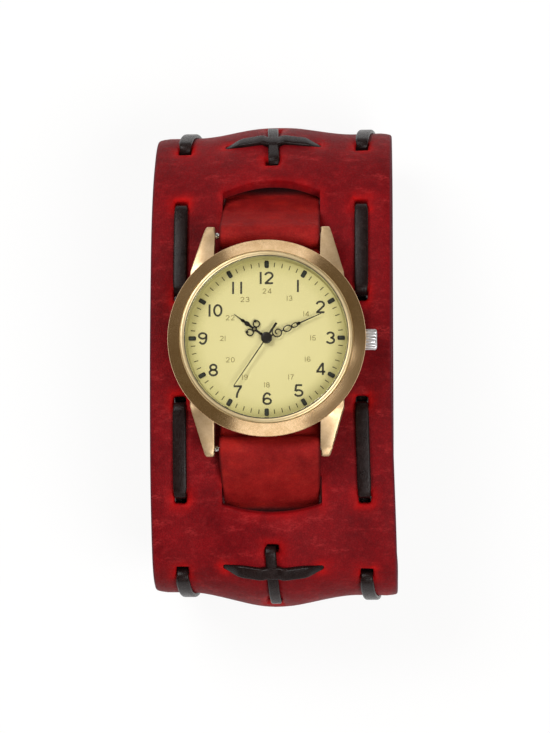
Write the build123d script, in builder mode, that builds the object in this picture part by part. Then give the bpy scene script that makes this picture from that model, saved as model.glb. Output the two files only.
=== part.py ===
from build123d import *
import os
from math import asin, atan2, cos, degrees, hypot, pi, radians, sin, sqrt

# A quartz wristwatch on one leather strap, which passes through two slots of a wide leather cuff and is
# laced to it. The watch lies on its back with the dial up: +Z is the dial's normal, +X points to the
# crown and +Y to twelve o'clock. The origin is the bottom centre of the whole watch. Millimetres.

# Cuff: a loop of tangent arcs, each named by where it lies, from the crest under the dial outwards.
cuff_width = 50.6
cuff_leather = 3.0
crest_radius_upper, crest_turn_upper = 140.0, 9
shoulder_radius_upper, shoulder_turn_upper = 36.0, 52
side_radius_upper = 20.0
heel_radius_upper = 15.0
crest_radius_lower, crest_turn_lower = 150.0, 12
shoulder_radius_lower, shoulder_turn_lower = 45.0, 28
side_radius_lower = 14.0
side_turn, heel_turn = 90, 180
fold_gap = 0.1
overrun = 1.0

# Cuff ends, which overlap under the wrist and are held by two snaps.
flap_gap = 1.0
outer_flap_length = 58.0
inner_flap_length = 30.5
flap_corner = 6.0
snap_inset = 11.3
cap_radius, cap_thickness, cap_post_radius = 6.2, 0.95, 1.8
socket_radius, socket_bore_radius, socket_rise, socket_sink = 4.7, 2.25, 0.8, 0.6
socket_floor = 0.2
stud_head_radius, stud_reach = 1.9, 1.2
stud_plate_thickness, stud_post_radius = 0.6, 1.5
rivet_radius, rivet_thickness = 4.5, 0.6
snap_clearance = 0.1

# Strap and its slots. Lengths along the cuff are measured from its crest.
strap_width = 20.0
strap_thickness = 1.8
strap_end = 60.0
slot_width = 20.6
slot_near, slot_far = 26.9, 33.8
strap_clearance = 0.1
bulge = 2.0
bulge_start, bulge_full, bulge_tail, bulge_end = 31.0, 38.0, 60.5, 65.0
bulge_brow, bulge_foot = 11.8, 15.0

# Laces: flat thongs in a running stitch along both sides, and a cross over each end of the strap.
lace_width = 2.6
lace_thickness = 1.3
lace_clearance = 0.1
side_lace_inset = 6.3
stitch_holes = (10.3, 32.0, 47.4, 68.0)
side_lace_tail = 6.0
cross_first_hole, cross_last_hole = 41.8, 56.2
cross_tail = 5.0
cross_middle = 49.2
cross_reach = 10.9

# Watch head: place, outer sizes and the stack of its pieces.
watch_x = -0.4
dial_offset = 1.0
head_seat_gap = 0.25
case_back_flange = 0.85
case_back_radius = 18.4
spigot_radius, spigot_wall, spigot_height = 17.0, 1.2, 1.0
case_radius_top, case_radius_bottom = 19.7, 19.2
case_bore = 18.35
movement_depth = 4.35
dial_radius, dial_thickness = 18.2, 0.4
dial_hole = 0.8
fit = 0.05
loose_fit = 0.1

# Bezel, glass and inner ring.
bezel_radius = 20.5
bezel_rim_low, bezel_rim_high = 0.35, 1.0
bezel_edge = 0.25
bezel_under = 0.4
band_inner_radius, band_height = 17.98, 2.8
groove_width, groove_depth = 0.16, 0.12
lip_inner_radius, lip_height = 17.05, 3.05
lip_break = 0.2
glass_thickness, glass_stand = 1.3, 0.15
glass_gap = 1.95
glass_gasket = 0.15
glass_chamfer = 0.15
inner_ring_radius, inner_ring_slope = 16.3, 0.35

# Lugs and spring bars.
lug_gap = 22.0
lug_tip_y, lug_tip_width = 24.1, 1.9
lug_root_y, lug_root_width = 14.0, 4.9
lug_shoulder_drop = 0.4
lug_tip_above, lug_tip_below = 1.3, 1.2
lug_tip_round = 0.7
bar_y = 22.3
bar_lift = 2.4
bar_radius, bar_bore, bar_length = 0.75, 0.55, 18.8
bar_hole_radius, bar_hole_depth = 0.45, 1.2
tip_pin_radius, tip_pin_reach = 0.4, 0.85
tip_collar_radius, tip_collar = 0.7, 0.4
tip_plunger_radius, tip_plunger_length = 0.5, 2.2
bar_spring_inner = 0.25

# Crown and stem.
crown_radius, crown_length = 2.2, 2.6
crown_stand = 0.4
crown_bevel = 0.35
knurl_count, knurl_depth = 20, 0.28
crown_recess_radius, crown_recess_depth = 1.55, 1.6
tube_radius, tube_bore, tube_stand = 1.15, 0.6, 1.8
crown_gasket_width = 0.4
stem_radius, stem_inner_end = 0.45, 4.75
stem_depth = 2.35
stem_groove_x, stem_groove_width, stem_groove_radius = 8.5, 0.8, 0.28

# Hands: lengths from the centre, and the clock angles at rest.
hour_length, minute_length, second_length, second_tail = 8.3, 12.4, 12.0, 3.7
hour_angle, minute_angle, second_angle = 306.4, 66.0, 214.1
hour_height, minute_height, second_height = 0.35, 0.65, 1.0
hand_thickness = 0.15
hand_boss_radius, hand_cap_radius, hand_cap_height = 1.2, 1.15, 0.25
hour_tube_radius, cannon_radius = 0.7, 0.42
hand_bar = 0.34
hour_ring_share, hour_ring_radius_share, hour_ring_spread_shares = 0.37, 0.075, (1.7, 0.6)
hour_swell_shares = ((0.6, 0.16, 2.4), (0.71, 0.12, 1.8))
minute_ring_share, minute_ring_radius_share, minute_oval_share = 0.2, 0.065, 0.38
minute_oval_shares = ((1.1, 0.052, Mode.ADD), (0.6, 0.034, Mode.SUBTRACT))
minute_bar_shares = ((0.3, 0.1), (0.45, 0.07))
minute_swell_shares = ((0.51, 0.1, 2.2), (0.585, 0.06, 1.9))
block_radius, block_length, block_width, block_height = 15.3, 1.55, 0.9, 0.12

# Movement: levels are depths under the dial.
plate_radius, plate_thickness = 11.65, 2.0
plate_floor = 0.9
bridge_top, bridge_thickness = 3.65, 0.45
pillar_radius = 0.5
pillars = ((-4.9, -2.0), (0.2, 5.2), (3.0, -2.4))
wheel_thickness = 0.25
arbor_radius, pivot_reach = 0.12, 0.1
train_module, drive_module, rotor_module = 0.09, 0.12, 0.08
motion_module = 0.1
centre_teeth, third_teeth, fourth_teeth, intermediate_teeth = 64, 60, 40, 36
leaf_count, rotor_leaves = 8, 6
cannon_teeth, minute_teeth, minute_leaves, hour_teeth = 12, 36, 10, 40
setting_teeth = 12
centre_level, third_level, fourth_level = 2.4, 2.8, 3.25
third_direction, intermediate_direction, minute_direction = 135, 250, -35
root_share, tip_share, root_pitch_share, tip_pitch_share = 1.1, 0.8, 0.3, 0.12
minute_level, hour_level = 0.8, 0.35
magnet_radius, magnet_top, magnet_bottom = 0.8, 2.2, 2.75
rotor_hole = 1.0
stator_level, stator_thickness = 2.3, 0.4
stator_left, stator_right, stator_top, stator_neck, stator_foot = -7.6, 4.6, -3.15, -5.6, -8.2
stator_leg = 1.2
core_y, core_width, core_thickness = -7.6, 0.8, 0.4
coil_radius, coil_shoulder = 0.85, 0.2
battery_x, battery_y, battery_radius, battery_height = 5.0, 5.3, 3.95, 2.0
clip_length, clip_width, clip_thickness, clip_post_radius = 10.0, 2.4, 0.12, 0.45
board_inner, board_outer, board_top, board_thickness = 6.3, 11.2, 2.2, 0.3
board_first, board_last = 122, 194
chip_radius, chip_height = 1.1, 0.5
can_radius, can_length, can_reach, can_direction = 0.7, 4.6, 8.8, 136
clutch_radius, clutch_length, clutch_gap = 1.1, 1.8, 0.65
window_half_width = 1.35
lever_pivot_x, lever_pivot_y, lever_head = 8.5, -4.6, 0.8
lever_finger, lever_thickness = 0.4, 0.3
lever_post_radius = 0.35


def drop(radii, turns):
    """How far a chain of tangent arcs comes down."""
    starts = (0, *turns[:-1])
    return sum(r * (cos(radians(a)) - cos(radians(b))) for r, a, b in zip(radii, starts, turns))


upper_radii = (crest_radius_upper, shoulder_radius_upper, side_radius_upper, heel_radius_upper)
upper_turns = (crest_turn_upper, shoulder_turn_upper, side_turn, heel_turn)
cuff_height = drop(upper_radii, upper_turns)
lower_turns = (crest_turn_lower, shoulder_turn_lower, side_turn, heel_turn)
lower_radii = (crest_radius_lower, shoulder_radius_lower, side_radius_lower)
flap_rise = cuff_leather + flap_gap
heel_radius_lower = cuff_height - flap_rise - drop(lower_radii, lower_turns[:-1])
lower_radii = (*lower_radii, heel_radius_lower)


def chain(radii, turns):
    """Tangent arcs from the crest outwards: start length, start turn, radius and centre of each."""
    arcs, length, turn, out, height = [], 0, 0, 0, cuff_height
    for radius, end in zip(radii, turns):
        centre_out = out - radius * sin(radians(turn))
        centre_up = height - radius * cos(radians(turn))
        arcs.append((length, turn, radius, centre_out, centre_up))
        out = centre_out + radius * sin(radians(end))
        height = centre_up + radius * cos(radians(end))
        length += radius * radians(end - turn)
        turn = end
    return arcs, length, out


upper_arcs, upper_length, upper_hinge_out = chain(upper_radii, upper_turns)
lower_arcs, lower_length, lower_hinge_out = chain(lower_radii, lower_turns)


def spot(length, height=0):
    """Place out from the crest, place up and turn in degrees, at a length along the cuff's outer face."""
    arcs = upper_arcs if length >= 0 else lower_arcs
    start, turn, radius, out, up = [arc for arc in arcs if arc[0] <= abs(length)][-1]
    angle = radians(turn) + (abs(length) - start) / radius
    side = 1 if length >= 0 else -1
    return side * (out + (radius + height) * sin(angle)), up + (radius + height) * cos(angle), degrees(angle)


# The cross laces on the bulges reach furthest along Y, so they set the middle of the whole watch.
cross_top = bulge + lace_clearance + lace_thickness
cuff_y = -(spot(cross_last_hole, cross_top)[0] + spot(-cross_last_hole, cross_top)[0]) / 2
watch_y = cuff_y + dial_offset


def at(length, height=0):
    """The point in the YZ plane at a length along the cuff from its crest and a height over its face."""
    out, up, _ = spot(length, height)
    return cuff_y + out, up


def rise(length):
    """How far the cuff is pushed out over the strap's end at a length from the crest."""
    going = (abs(length) - bulge_start) / (bulge_full - bulge_start)
    coming = (bulge_end - abs(length)) / (bulge_end - bulge_tail)
    return bulge * max(0, min(1, going, coming))


def stations(first, last, bulged=False):
    """Lengths from first to last with every place between them where the cuff's curve changes."""
    marks = [arc[0] for arc in upper_arcs] + [-arc[0] for arc in lower_arcs]
    bends = (bulge_start, bulge_full, bulge_tail, bulge_end)
    marks += [sign * bend for bend in bends for sign in (-1, 1)]
    inside = sorted({mark for mark in marks if first + fold_gap < mark < last - fold_gap})
    return [(mark, rise(mark) if bulged else 0) for mark in (first, *inside, last)]


def run(places, height):
    """Draws arcs through the stations at one height over the cuff."""
    for (start, low), (end, high) in zip(places, places[1:]):
        middle = at((start + end) / 2, (low + high) / 2 + height)
        ThreePointArc(at(start, low + height), middle, at(end, high + height))


def layer(x, places, low, high):
    """A face across the cuff at one x: the layer between two heights over its outer face."""
    with BuildSketch(Plane.YZ.offset(x)) as face:
        with BuildLine():
            run(places, high)
            run(places, low)
            for length, lift in (places[0], places[-1]):
                Line(at(length, lift + low), at(length, lift + high))
        make_face()
    return face.sketch


def surface(x, length, height):
    """A plane laid on the cuff, its normal pointing out of the leather."""
    y, z = at(length, height)
    turn = radians(spot(length)[2])
    side = 1 if length >= 0 else -1
    return Plane(origin=(x, y, z), x_dir=(1, 0, 0), z_dir=(0, side * sin(turn), cos(turn)))


def upright(length):
    """A plane across the cuff at a length, with local y pointing out of the leather."""
    y, z = at(length)
    turn = radians(spot(length)[2])
    side = 1 if length >= 0 else -1
    return Plane(origin=(0, y, z), x_dir=(1, 0, 0), z_dir=(0, -cos(turn), side * sin(turn)))


def finish(part, name):
    """Labels a piece and writes its file."""
    part.part.label = name
    export_step(part.part, f"parts/{name}.step")


os.makedirs("parts", exist_ok=True)

# Cuff front: flat at both sides, pushed out over the strap's ends in the middle, with a ramp between.
front_flat = stations(-lower_length, upper_length)
front_bulged = stations(-lower_length, upper_length, bulged=True)
cuff_half = cuff_width / 2
side_lace_x = cuff_half - side_lace_inset
hole_along = lace_thickness + 2 * lace_clearance
hole_across = lace_width + 2 * lace_clearance
through = cuff_leather + bulge + 2 * overrun

with BuildPart() as cuff_front:
    for x, width in ((-cuff_half, cuff_half - bulge_foot), (bulge_foot, cuff_half - bulge_foot)):
        extrude(layer(x, front_flat, -cuff_leather, 0), amount=width)
    extrude(layer(-bulge_brow, front_bulged, -cuff_leather, 0), amount=2 * bulge_brow)
    for side in (-1, 1):
        for step in range(len(front_flat) - 1):
            brow, foot = front_bulged[step:step + 2], front_flat[step:step + 2]
            loft([layer(side * bulge_brow, brow, -cuff_leather, 0),
                  layer(side * bulge_foot, foot, -cuff_leather, 0)], ruled=True)
    for near, far in ((slot_near, slot_far), (-slot_far, -slot_near)):
        opening = layer(-slot_width / 2, [(near, 0), (far, 0)], -cuff_leather - overrun, bulge + overrun)
        extrude(opening, amount=slot_width, mode=Mode.SUBTRACT)
    for side in (-1, 1):
        for hole in stitch_holes:
            for x in (-side_lace_x, side_lace_x):
                with BuildSketch(surface(x, side * hole, overrun)):
                    Rectangle(hole_across, hole_along)
                extrude(amount=-through, mode=Mode.SUBTRACT)
        for hole in (cross_first_hole, cross_last_hole):
            with BuildSketch(surface(0, side * hole, bulge + overrun)):
                Rectangle(hole_across, hole_along)
            extrude(amount=-through, mode=Mode.SUBTRACT)
        for x in (-cross_reach, cross_reach):
            with BuildSketch(surface(x, side * cross_middle, bulge + overrun)):
                Rectangle(hole_along, hole_across)
            extrude(amount=-through, mode=Mode.SUBTRACT)
finish(cuff_front, "cuff_front")

# Cuff ends. The outer one lies flat on the ground, and the inner one lies over it.
outer_hinge_y = cuff_y + upper_hinge_out
inner_hinge_y = cuff_y - lower_hinge_out
outer_tip_y = outer_hinge_y - outer_flap_length
inner_tip_y = inner_hinge_y + inner_flap_length
snap_y = (outer_tip_y + inner_tip_y) / 2
snap_spread = cuff_width - 2 * snap_inset
socket_top = cuff_leather + socket_rise
socket_bottom = cuff_leather - socket_sink
stud_plate_top = flap_rise + stud_plate_thickness
inner_flap_top = flap_rise + cuff_leather


def snap_pair(height, radius, amount, mode=Mode.ADD, bore=0):
    """Two discs or rings at the snaps, from one height over a thickness."""
    with BuildSketch(Plane((0, snap_y, height))) as discs:
        with GridLocations(snap_spread, 0, 2, 1):
            Circle(radius)
            if bore:
                Circle(bore, mode=Mode.SUBTRACT)
    extrude(discs.sketch, amount=amount, mode=mode)


with BuildPart() as cuff_flap_outer:
    with BuildSketch(Plane((0, outer_hinge_y - fold_gap, 0))):
        Rectangle(cuff_width, outer_flap_length - fold_gap, align=(Align.CENTER, Align.MAX))
    extrude(amount=cuff_leather)
    fillet(cuff_flap_outer.edges().filter_by(Axis.Z).group_by(Axis.Y)[0], radius=flap_corner)
    snap_pair(0, cap_radius + snap_clearance, cap_thickness, Mode.SUBTRACT)
    snap_pair(0, cap_post_radius + snap_clearance, cuff_leather, Mode.SUBTRACT)
    snap_pair(socket_bottom, socket_radius + snap_clearance, socket_sink, Mode.SUBTRACT)
finish(cuff_flap_outer, "cuff_flap_outer")

with BuildPart() as cuff_flap_inner:
    with BuildSketch(Plane((0, inner_hinge_y + fold_gap, flap_rise))):
        Rectangle(cuff_width, inner_flap_length - fold_gap, align=(Align.CENTER, Align.MIN))
    extrude(amount=cuff_leather)
    fillet(cuff_flap_inner.edges().filter_by(Axis.Z).group_by(Axis.Y)[-1], radius=flap_corner)
    snap_pair(flap_rise, socket_radius + snap_clearance, stud_plate_thickness, Mode.SUBTRACT)
    snap_pair(flap_rise, stud_post_radius + snap_clearance, cuff_leather, Mode.SUBTRACT)
finish(cuff_flap_inner, "cuff_flap_inner")

# Snaps: a domed cap pressed level with the outer face, a socket, a stud and the rivet that holds it.
with BuildPart() as snap_caps:
    snap_pair(0, cap_radius, cap_thickness)
    fillet(snap_caps.edges().group_by(Axis.Z)[0], radius=cap_thickness * 2 / 3)
    snap_pair(cap_thickness, cap_post_radius, socket_bottom - cap_thickness)
finish(snap_caps, "snap_caps")

with BuildPart() as snap_sockets:
    snap_pair(socket_bottom, socket_radius, socket_floor)
    snap_pair(socket_bottom + socket_floor, socket_radius, socket_top - socket_bottom - socket_floor,
              bore=socket_bore_radius)
    fillet(snap_sockets.edges().group_by(Axis.Z)[-1], radius=socket_floor)
finish(snap_sockets, "snap_sockets")

with BuildPart() as snap_studs:
    snap_pair(flap_rise, socket_radius, stud_plate_thickness)
    snap_pair(flap_rise - stud_reach, stud_head_radius, stud_reach)
    fillet(snap_studs.edges().group_by(Axis.Z)[0], radius=stud_plate_thickness / 2)
    snap_pair(stud_plate_top, stud_post_radius, inner_flap_top - stud_plate_top)
finish(snap_studs, "snap_studs")

with BuildPart() as snap_rivets:
    snap_pair(inner_flap_top, rivet_radius, rivet_thickness)
    fillet(snap_rivets.edges().group_by(Axis.Z)[-1], radius=rivet_thickness / 2)
finish(snap_rivets, "snap_rivets")

# Strap: from its laced end under the cuff up through a slot, round a spring bar and under the head.
head_floor = cuff_height + strap_thickness + head_seat_gap
bar_z = cuff_height + bar_lift
half_strap = strap_thickness / 2
wrap_radius = bar_radius + strap_clearance + half_strap
strap_under = -cuff_leather - strap_clearance - half_strap


def bar_corner(side, length, height):
    """Where the strap's run up from the slot would meet its run down beside the spring bar."""
    y, z = at(length, height)
    centre_y, inside = watch_y + side * bar_y, watch_y + side * (bar_y - wrap_radius)
    reach_y, reach_z = side * (y - centre_y), bar_z - z
    span = hypot(reach_y, reach_z)
    climb = atan2(reach_z, reach_y) + asin(wrap_radius / span)
    return inside, z + side * (y - inside) * sin(climb) / cos(climb)


def strap_side(side):
    """The strap's corners on one side, from where it leaves the bulge to the flat under the head."""
    marks = (bulge_full + strap_thickness, bulge_full)
    points = [at(side * mark, strap_under + bulge) for mark in marks]
    turn_length, turn_height = slot_far + half_strap, strap_under - strap_clearance
    points.append(at(side * turn_length, turn_height))
    points.append(bar_corner(side, side * turn_length, turn_height))
    points.append((watch_y + side * (bar_y - wrap_radius), cuff_height + strap_clearance + half_strap))
    return points


strap_path = strap_side(1) + strap_side(-1)[::-1]
strap_bottom = strap_under + bulge - half_strap
strap_radii = [half_strap * 2, half_strap * 2, wrap_radius, half_strap * 4 / 3]
with BuildPart() as strap:
    with BuildSketch(Plane.YZ.offset(-strap_width / 2)):
        with BuildLine() as centre_line:
            FilletPolyline(*strap_path, radius=strap_radii + strap_radii[::-1])
        for edge in centre_line.edges():
            trace(edge, line_width=strap_thickness)
    extrude(amount=strap_width)
    for side in (-1, 1):
        ends = sorted((side * bulge_full, side * strap_end))
        laced = layer(-strap_width / 2, stations(*ends), strap_bottom, strap_bottom + strap_thickness)
        extrude(laced, amount=strap_width)
        for hole in (cross_first_hole, cross_last_hole):
            with BuildSketch(surface(0, side * hole, bulge)):
                Rectangle(hole_across, hole_along)
            extrude(amount=-through - strap_thickness, mode=Mode.SUBTRACT)
finish(strap, "strap")

# Side laces: one thong each, over and under the cuff from hole to hole.
lace_top = lace_clearance + lace_thickness
under_top = -cuff_leather - lace_clearance
under_bottom = under_top - lace_thickness
half_thong = lace_thickness / 2


def side_lace(x):
    """A running stitch along the cuff at one x."""
    first, second, third, last = stitch_holes
    over = [(first, second), (third, last)]
    under = [(second, third), (last, last + side_lace_tail)]
    start = x - lace_width / 2
    for side in (-1, 1):
        for near, far in over:
            ends = sorted((side * (near - half_thong), side * (far + half_thong)))
            extrude(layer(start, stations(*ends), lace_clearance, lace_top), amount=lace_width)
        for near, far in under:
            ends = sorted((side * near, side * far))
            extrude(layer(start, stations(*ends), under_bottom, under_top), amount=lace_width)
        for hole in stitch_holes:
            ends = sorted((side * (hole - half_thong), side * (hole + half_thong)))
            extrude(layer(start, [(end, 0) for end in ends], under_bottom, lace_top), amount=lace_width)
    extrude(layer(start, stations(-first, first), under_bottom, under_top), amount=lace_width)


for x, name in ((-side_lace_x, "lace_left"), (side_lace_x, "lace_right")):
    with BuildPart() as lace:
        side_lace(x)
    finish(lace, name)

# Cross laces: one thong along the cuff and one across it, over the strap's end and under it.
cross_under_top = strap_bottom - lace_clearance
cross_under_bottom = cross_under_top - lace_thickness
hump_half = lace_width / 2 + lace_clearance

for side, place in ((1, "upper"), (-1, "lower")):
    with BuildPart() as lace:
        near, far = cross_first_hole - half_thong, cross_last_hole + half_thong
        ends = sorted((side * near, side * far))
        extrude(layer(-lace_width / 2, stations(*ends), bulge + lace_clearance, cross_top), amount=lace_width)
        for hole, tail in ((cross_first_hole, cross_tail), (cross_last_hole, -cross_tail)):
            ends = sorted((side * (hole - half_thong), side * (hole + half_thong)))
            leg = layer(-lace_width / 2, [(end, 0) for end in ends], cross_under_bottom, cross_top)
            extrude(leg, amount=lace_width)
            ends = sorted((side * hole, side * (hole + tail)))
            extrude(layer(-lace_width / 2, stations(*ends), cross_under_bottom, cross_under_top), amount=lace_width)
    finish(lace, f"lace_cross_{place}_along")

    with BuildPart() as lace:
        with BuildSketch(upright(side * cross_middle)):
            with BuildLine():
                outer_x, inner_x = cross_reach + half_thong, cross_reach - half_thong
                hump = cross_top + lace_clearance
                right = [(hump_half + lace_thickness, hump + lace_thickness),
                         (hump_half + 2 * lace_thickness, cross_top), (outer_x, cross_top),
                         (outer_x, cross_under_bottom)]
                Polyline(*[(-x, y) for x, y in right[::-1]], *right, close=True)
            make_face()
            with BuildLine():
                right = [(hump_half, hump), (hump_half + lace_thickness, bulge + lace_clearance),
                         (inner_x, bulge + lace_clearance), (inner_x, cross_under_top)]
                Polyline(*[(-x, y) for x, y in right[::-1]], *right, close=True)
            make_face(mode=Mode.SUBTRACT)
        extrude(amount=lace_width / 2, both=True)
    finish(lace, f"lace_cross_{place}_across")

# Watch head levels, from the case back up.
case_floor = head_floor + case_back_flange
dial_bottom = case_floor + movement_depth
dial_top = dial_bottom + dial_thickness
bezel_seat = dial_top + fit
glass_bottom = dial_top + glass_gap
glass_top = glass_bottom + glass_thickness
ring_top = glass_bottom - fit
ledge_top = case_floor + spigot_height
stem_z = dial_bottom - stem_depth
head_axis = Axis((watch_x, watch_y, 0), (0, 0, 1))
section = Plane(origin=(watch_x, watch_y, 0), x_dir=(1, 0, 0), z_dir=(0, -1, 0))


def level(height, x=0, y=0):
    """A level plane in the watch head, at a place from the dial's centre."""
    return Plane((watch_x + x, watch_y + y, height))


def depth(amount, x=0, y=0):
    """A level plane at a depth under the dial, at a place from the dial's centre."""
    return level(dial_bottom - amount, x, y)


def turned(*points):
    """Turns an outline of radii and heights about the dial's centre."""
    with BuildSketch(section) as profile:
        with BuildLine():
            Polyline(*points, close=True)
        make_face()
    revolve(profile.sketch, axis=head_axis)


def sideways(x, z):
    """A plane square to the stem, at a distance from the dial's centre."""
    return Plane(origin=(watch_x + x, watch_y, z), x_dir=(0, 1, 0), z_dir=(1, 0, 0))


# Case middle with four lugs, drawn in plan and cut to their side view.
with BuildPart() as lug_stock:
    with BuildSketch(level(head_floor)):
        with BuildLine():
            inner = lug_gap / 2
            Polyline((inner, 0), (inner, lug_tip_y), (inner + lug_tip_width, lug_tip_y),
                     (inner + lug_root_width, lug_root_y), (inner + lug_root_width, 0), close=True)
        make_face()
        mirror(about=Plane.YZ)
        mirror(about=Plane.XZ)
    extrude(amount=bezel_seat - head_floor)
    with BuildSketch(Plane.YZ.offset(watch_x - case_radius_top)):
        with BuildLine():
            shoulder, foot = bezel_seat - lug_shoulder_drop, case_floor
            high, low = bar_z + lug_tip_above, bar_z - lug_tip_below
            right = [(lug_root_y + lug_tip_width, shoulder), (bar_y, high + lug_tip_round),
                     (lug_tip_y, high), (lug_tip_y, low), (bar_y, low), (lug_root_y + lug_tip_width, foot)]
            Polyline(*[(watch_y - y, z) for y, z in right], *[(watch_y + y, z) for y, z in right[::-1]],
                     close=True)
        make_face()
    extrude(amount=2 * case_radius_top, mode=Mode.INTERSECT)
    tips = lug_stock.edges().filter_by(Axis.X).filter_by(
        lambda edge: abs(abs(edge.center().Y - watch_y) - lug_tip_y) < fit)
    fillet(tips, radius=lug_tip_round)

with BuildPart() as case_middle:
    turned((spigot_radius + fit, case_floor), (case_radius_bottom, case_floor),
           (case_radius_top, bezel_seat), (spigot_radius + fit, bezel_seat))
    add(lug_stock.part)
    with BuildSketch(level(ledge_top)):
        Circle(case_bore)
    extrude(amount=bezel_seat - ledge_top, mode=Mode.SUBTRACT)
    with BuildSketch(level(head_floor)):
        Circle(spigot_radius + fit)
    extrude(amount=bezel_seat - head_floor, mode=Mode.SUBTRACT)
    for side in (-1, 1):
        with BuildSketch(Plane(origin=(watch_x, watch_y + side * bar_y, bar_z), x_dir=(0, 1, 0),
                               z_dir=(1, 0, 0))):
            Circle(bar_hole_radius)
        extrude(amount=lug_gap / 2 + bar_hole_depth, both=True, mode=Mode.SUBTRACT)
    with BuildSketch(sideways(0, stem_z)):
        Circle(tube_radius + fit)
    extrude(amount=bezel_radius, mode=Mode.SUBTRACT)
finish(case_middle, "case_middle")

with BuildPart() as case_back:
    turned((0, head_floor), (case_back_radius, head_floor), (case_back_radius, case_floor),
           (spigot_radius, case_floor), (spigot_radius, ledge_top - fit),
           (spigot_radius - spigot_wall, ledge_top - fit), (spigot_radius - spigot_wall, case_floor),
           (0, case_floor))
    chamfer(case_back.edges().group_by(Axis.Z)[0], length=case_back_flange / 3)
finish(case_back, "case_back")

# The gasket sits in the corner between the spigot's inner wall and the holder ring.
gasket_outer = spigot_radius - spigot_wall - fit
gasket_width = spigot_wall / 2
with BuildPart() as case_back_gasket:
    turned((gasket_outer - gasket_width, case_floor), (gasket_outer, case_floor),
           (gasket_outer, ledge_top - fit), (gasket_outer - gasket_width, ledge_top - fit))
finish(case_back_gasket, "case_back_gasket")

with BuildPart() as bezel:
    seat, rim_r = bezel_seat, bezel_radius
    turned((case_bore, seat), (rim_r - bezel_under, seat), (rim_r, seat + bezel_rim_low),
           (rim_r, seat + bezel_rim_high), (rim_r - bezel_edge, seat + bezel_rim_high + bezel_edge),
           (band_inner_radius, seat + band_height),
           (band_inner_radius - groove_width / 2, seat + band_height - groove_depth),
           (band_inner_radius - groove_width, seat + band_height + groove_depth / 2),
           (lip_inner_radius + lip_break, seat + lip_height),
           (lip_inner_radius, seat + lip_height - lip_break / 2),
           (lip_inner_radius, ring_top + fit), (case_bore, ring_top + fit))
finish(bezel, "bezel")

glass_radius = lip_inner_radius - 2 * fit - glass_gasket
with BuildPart() as glass:
    with BuildSketch(level(glass_bottom)):
        Circle(glass_radius)
    extrude(amount=glass_thickness)
    chamfer(glass.edges().group_by(Axis.Z)[-1], length=glass_chamfer)
finish(glass, "glass")

with BuildPart() as glass_gasket_ring:
    with BuildSketch(level(glass_bottom)):
        Circle(glass_radius + fit + glass_gasket)
        Circle(glass_radius + fit, mode=Mode.SUBTRACT)
    extrude(amount=glass_thickness - glass_stand - lip_break)
finish(glass_gasket_ring, "glass_gasket")

with BuildPart() as inner_ring:
    turned((inner_ring_radius, dial_top), (case_bore - loose_fit, dial_top), (case_bore - loose_fit, ring_top),
           (inner_ring_radius + inner_ring_slope, ring_top))
finish(inner_ring, "inner_ring")

with BuildPart() as dial:
    with BuildSketch(level(dial_bottom)):
        Circle(dial_radius)
        Circle(dial_hole, mode=Mode.SUBTRACT)
    extrude(amount=dial_thickness)
finish(dial, "dial")

with BuildPart() as hour_blocks:
    with BuildSketch(level(dial_top)):
        with PolarLocations(block_radius, 12):
            RectangleRounded(block_length, block_width, block_width / 3)
    extrude(amount=block_height)
finish(hour_blocks, "hour_blocks")

# Hands, each drawn along local y and laid at its clock angle.


def hand_plane(height, angle):
    """A plane over the dial whose local y points along a hand at a clock angle."""
    turn = radians(angle)
    return Plane(origin=(watch_x, watch_y, dial_top + height), x_dir=(cos(turn), -sin(turn), 0),
                 z_dir=(0, 0, 1))


def ring_at(x, y, radius, bore):
    """A pierced ring of a hand."""
    with Locations((x, y)):
        Circle(radius)
        Circle(bore, mode=Mode.SUBTRACT)


def spear(start, end, width):
    """A slim bar of a hand that runs out to a point."""
    with BuildLine() as outline:
        Polyline((-width / 2, start), (width / 2, start), (0, end), close=True)
    make_face(outline.line)


def lozenge(middle, length, width):
    """A four cornered swelling on a hand."""
    with BuildLine() as outline:
        Polyline((0, middle - length / 2), (width / 2, middle), (0, middle + length / 2),
                 (-width / 2, middle), close=True)
    make_face(outline.line)


with BuildPart() as hour_hand:
    with BuildSketch(hand_plane(hour_height, hour_angle)):
        ring_reach, ring_radius = hour_length * hour_ring_share, hour_length * hour_ring_radius_share
        aside, beyond = [ring_radius * share for share in hour_ring_spread_shares]
        ring_at(0, ring_reach, ring_radius, ring_radius - hand_bar / 2)
        for side in (-1, 1):
            ring_at(side * aside, ring_reach + beyond, ring_radius, ring_radius - hand_bar / 2)
        with Locations((0, (ring_reach - ring_radius + hand_boss_radius) / 2)):
            Rectangle(hand_bar, ring_reach - ring_radius - hand_boss_radius + hand_bar)
        spear(ring_reach + ring_radius - hand_bar / 3, hour_length, hand_bar)
        for middle, length, width in hour_swell_shares:
            lozenge(hour_length * middle, hour_length * length, hand_bar * width)
        Circle(hand_boss_radius)
        Circle(hour_tube_radius, mode=Mode.SUBTRACT)
    extrude(amount=hand_thickness)
finish(hour_hand, "hour_hand")

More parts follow.
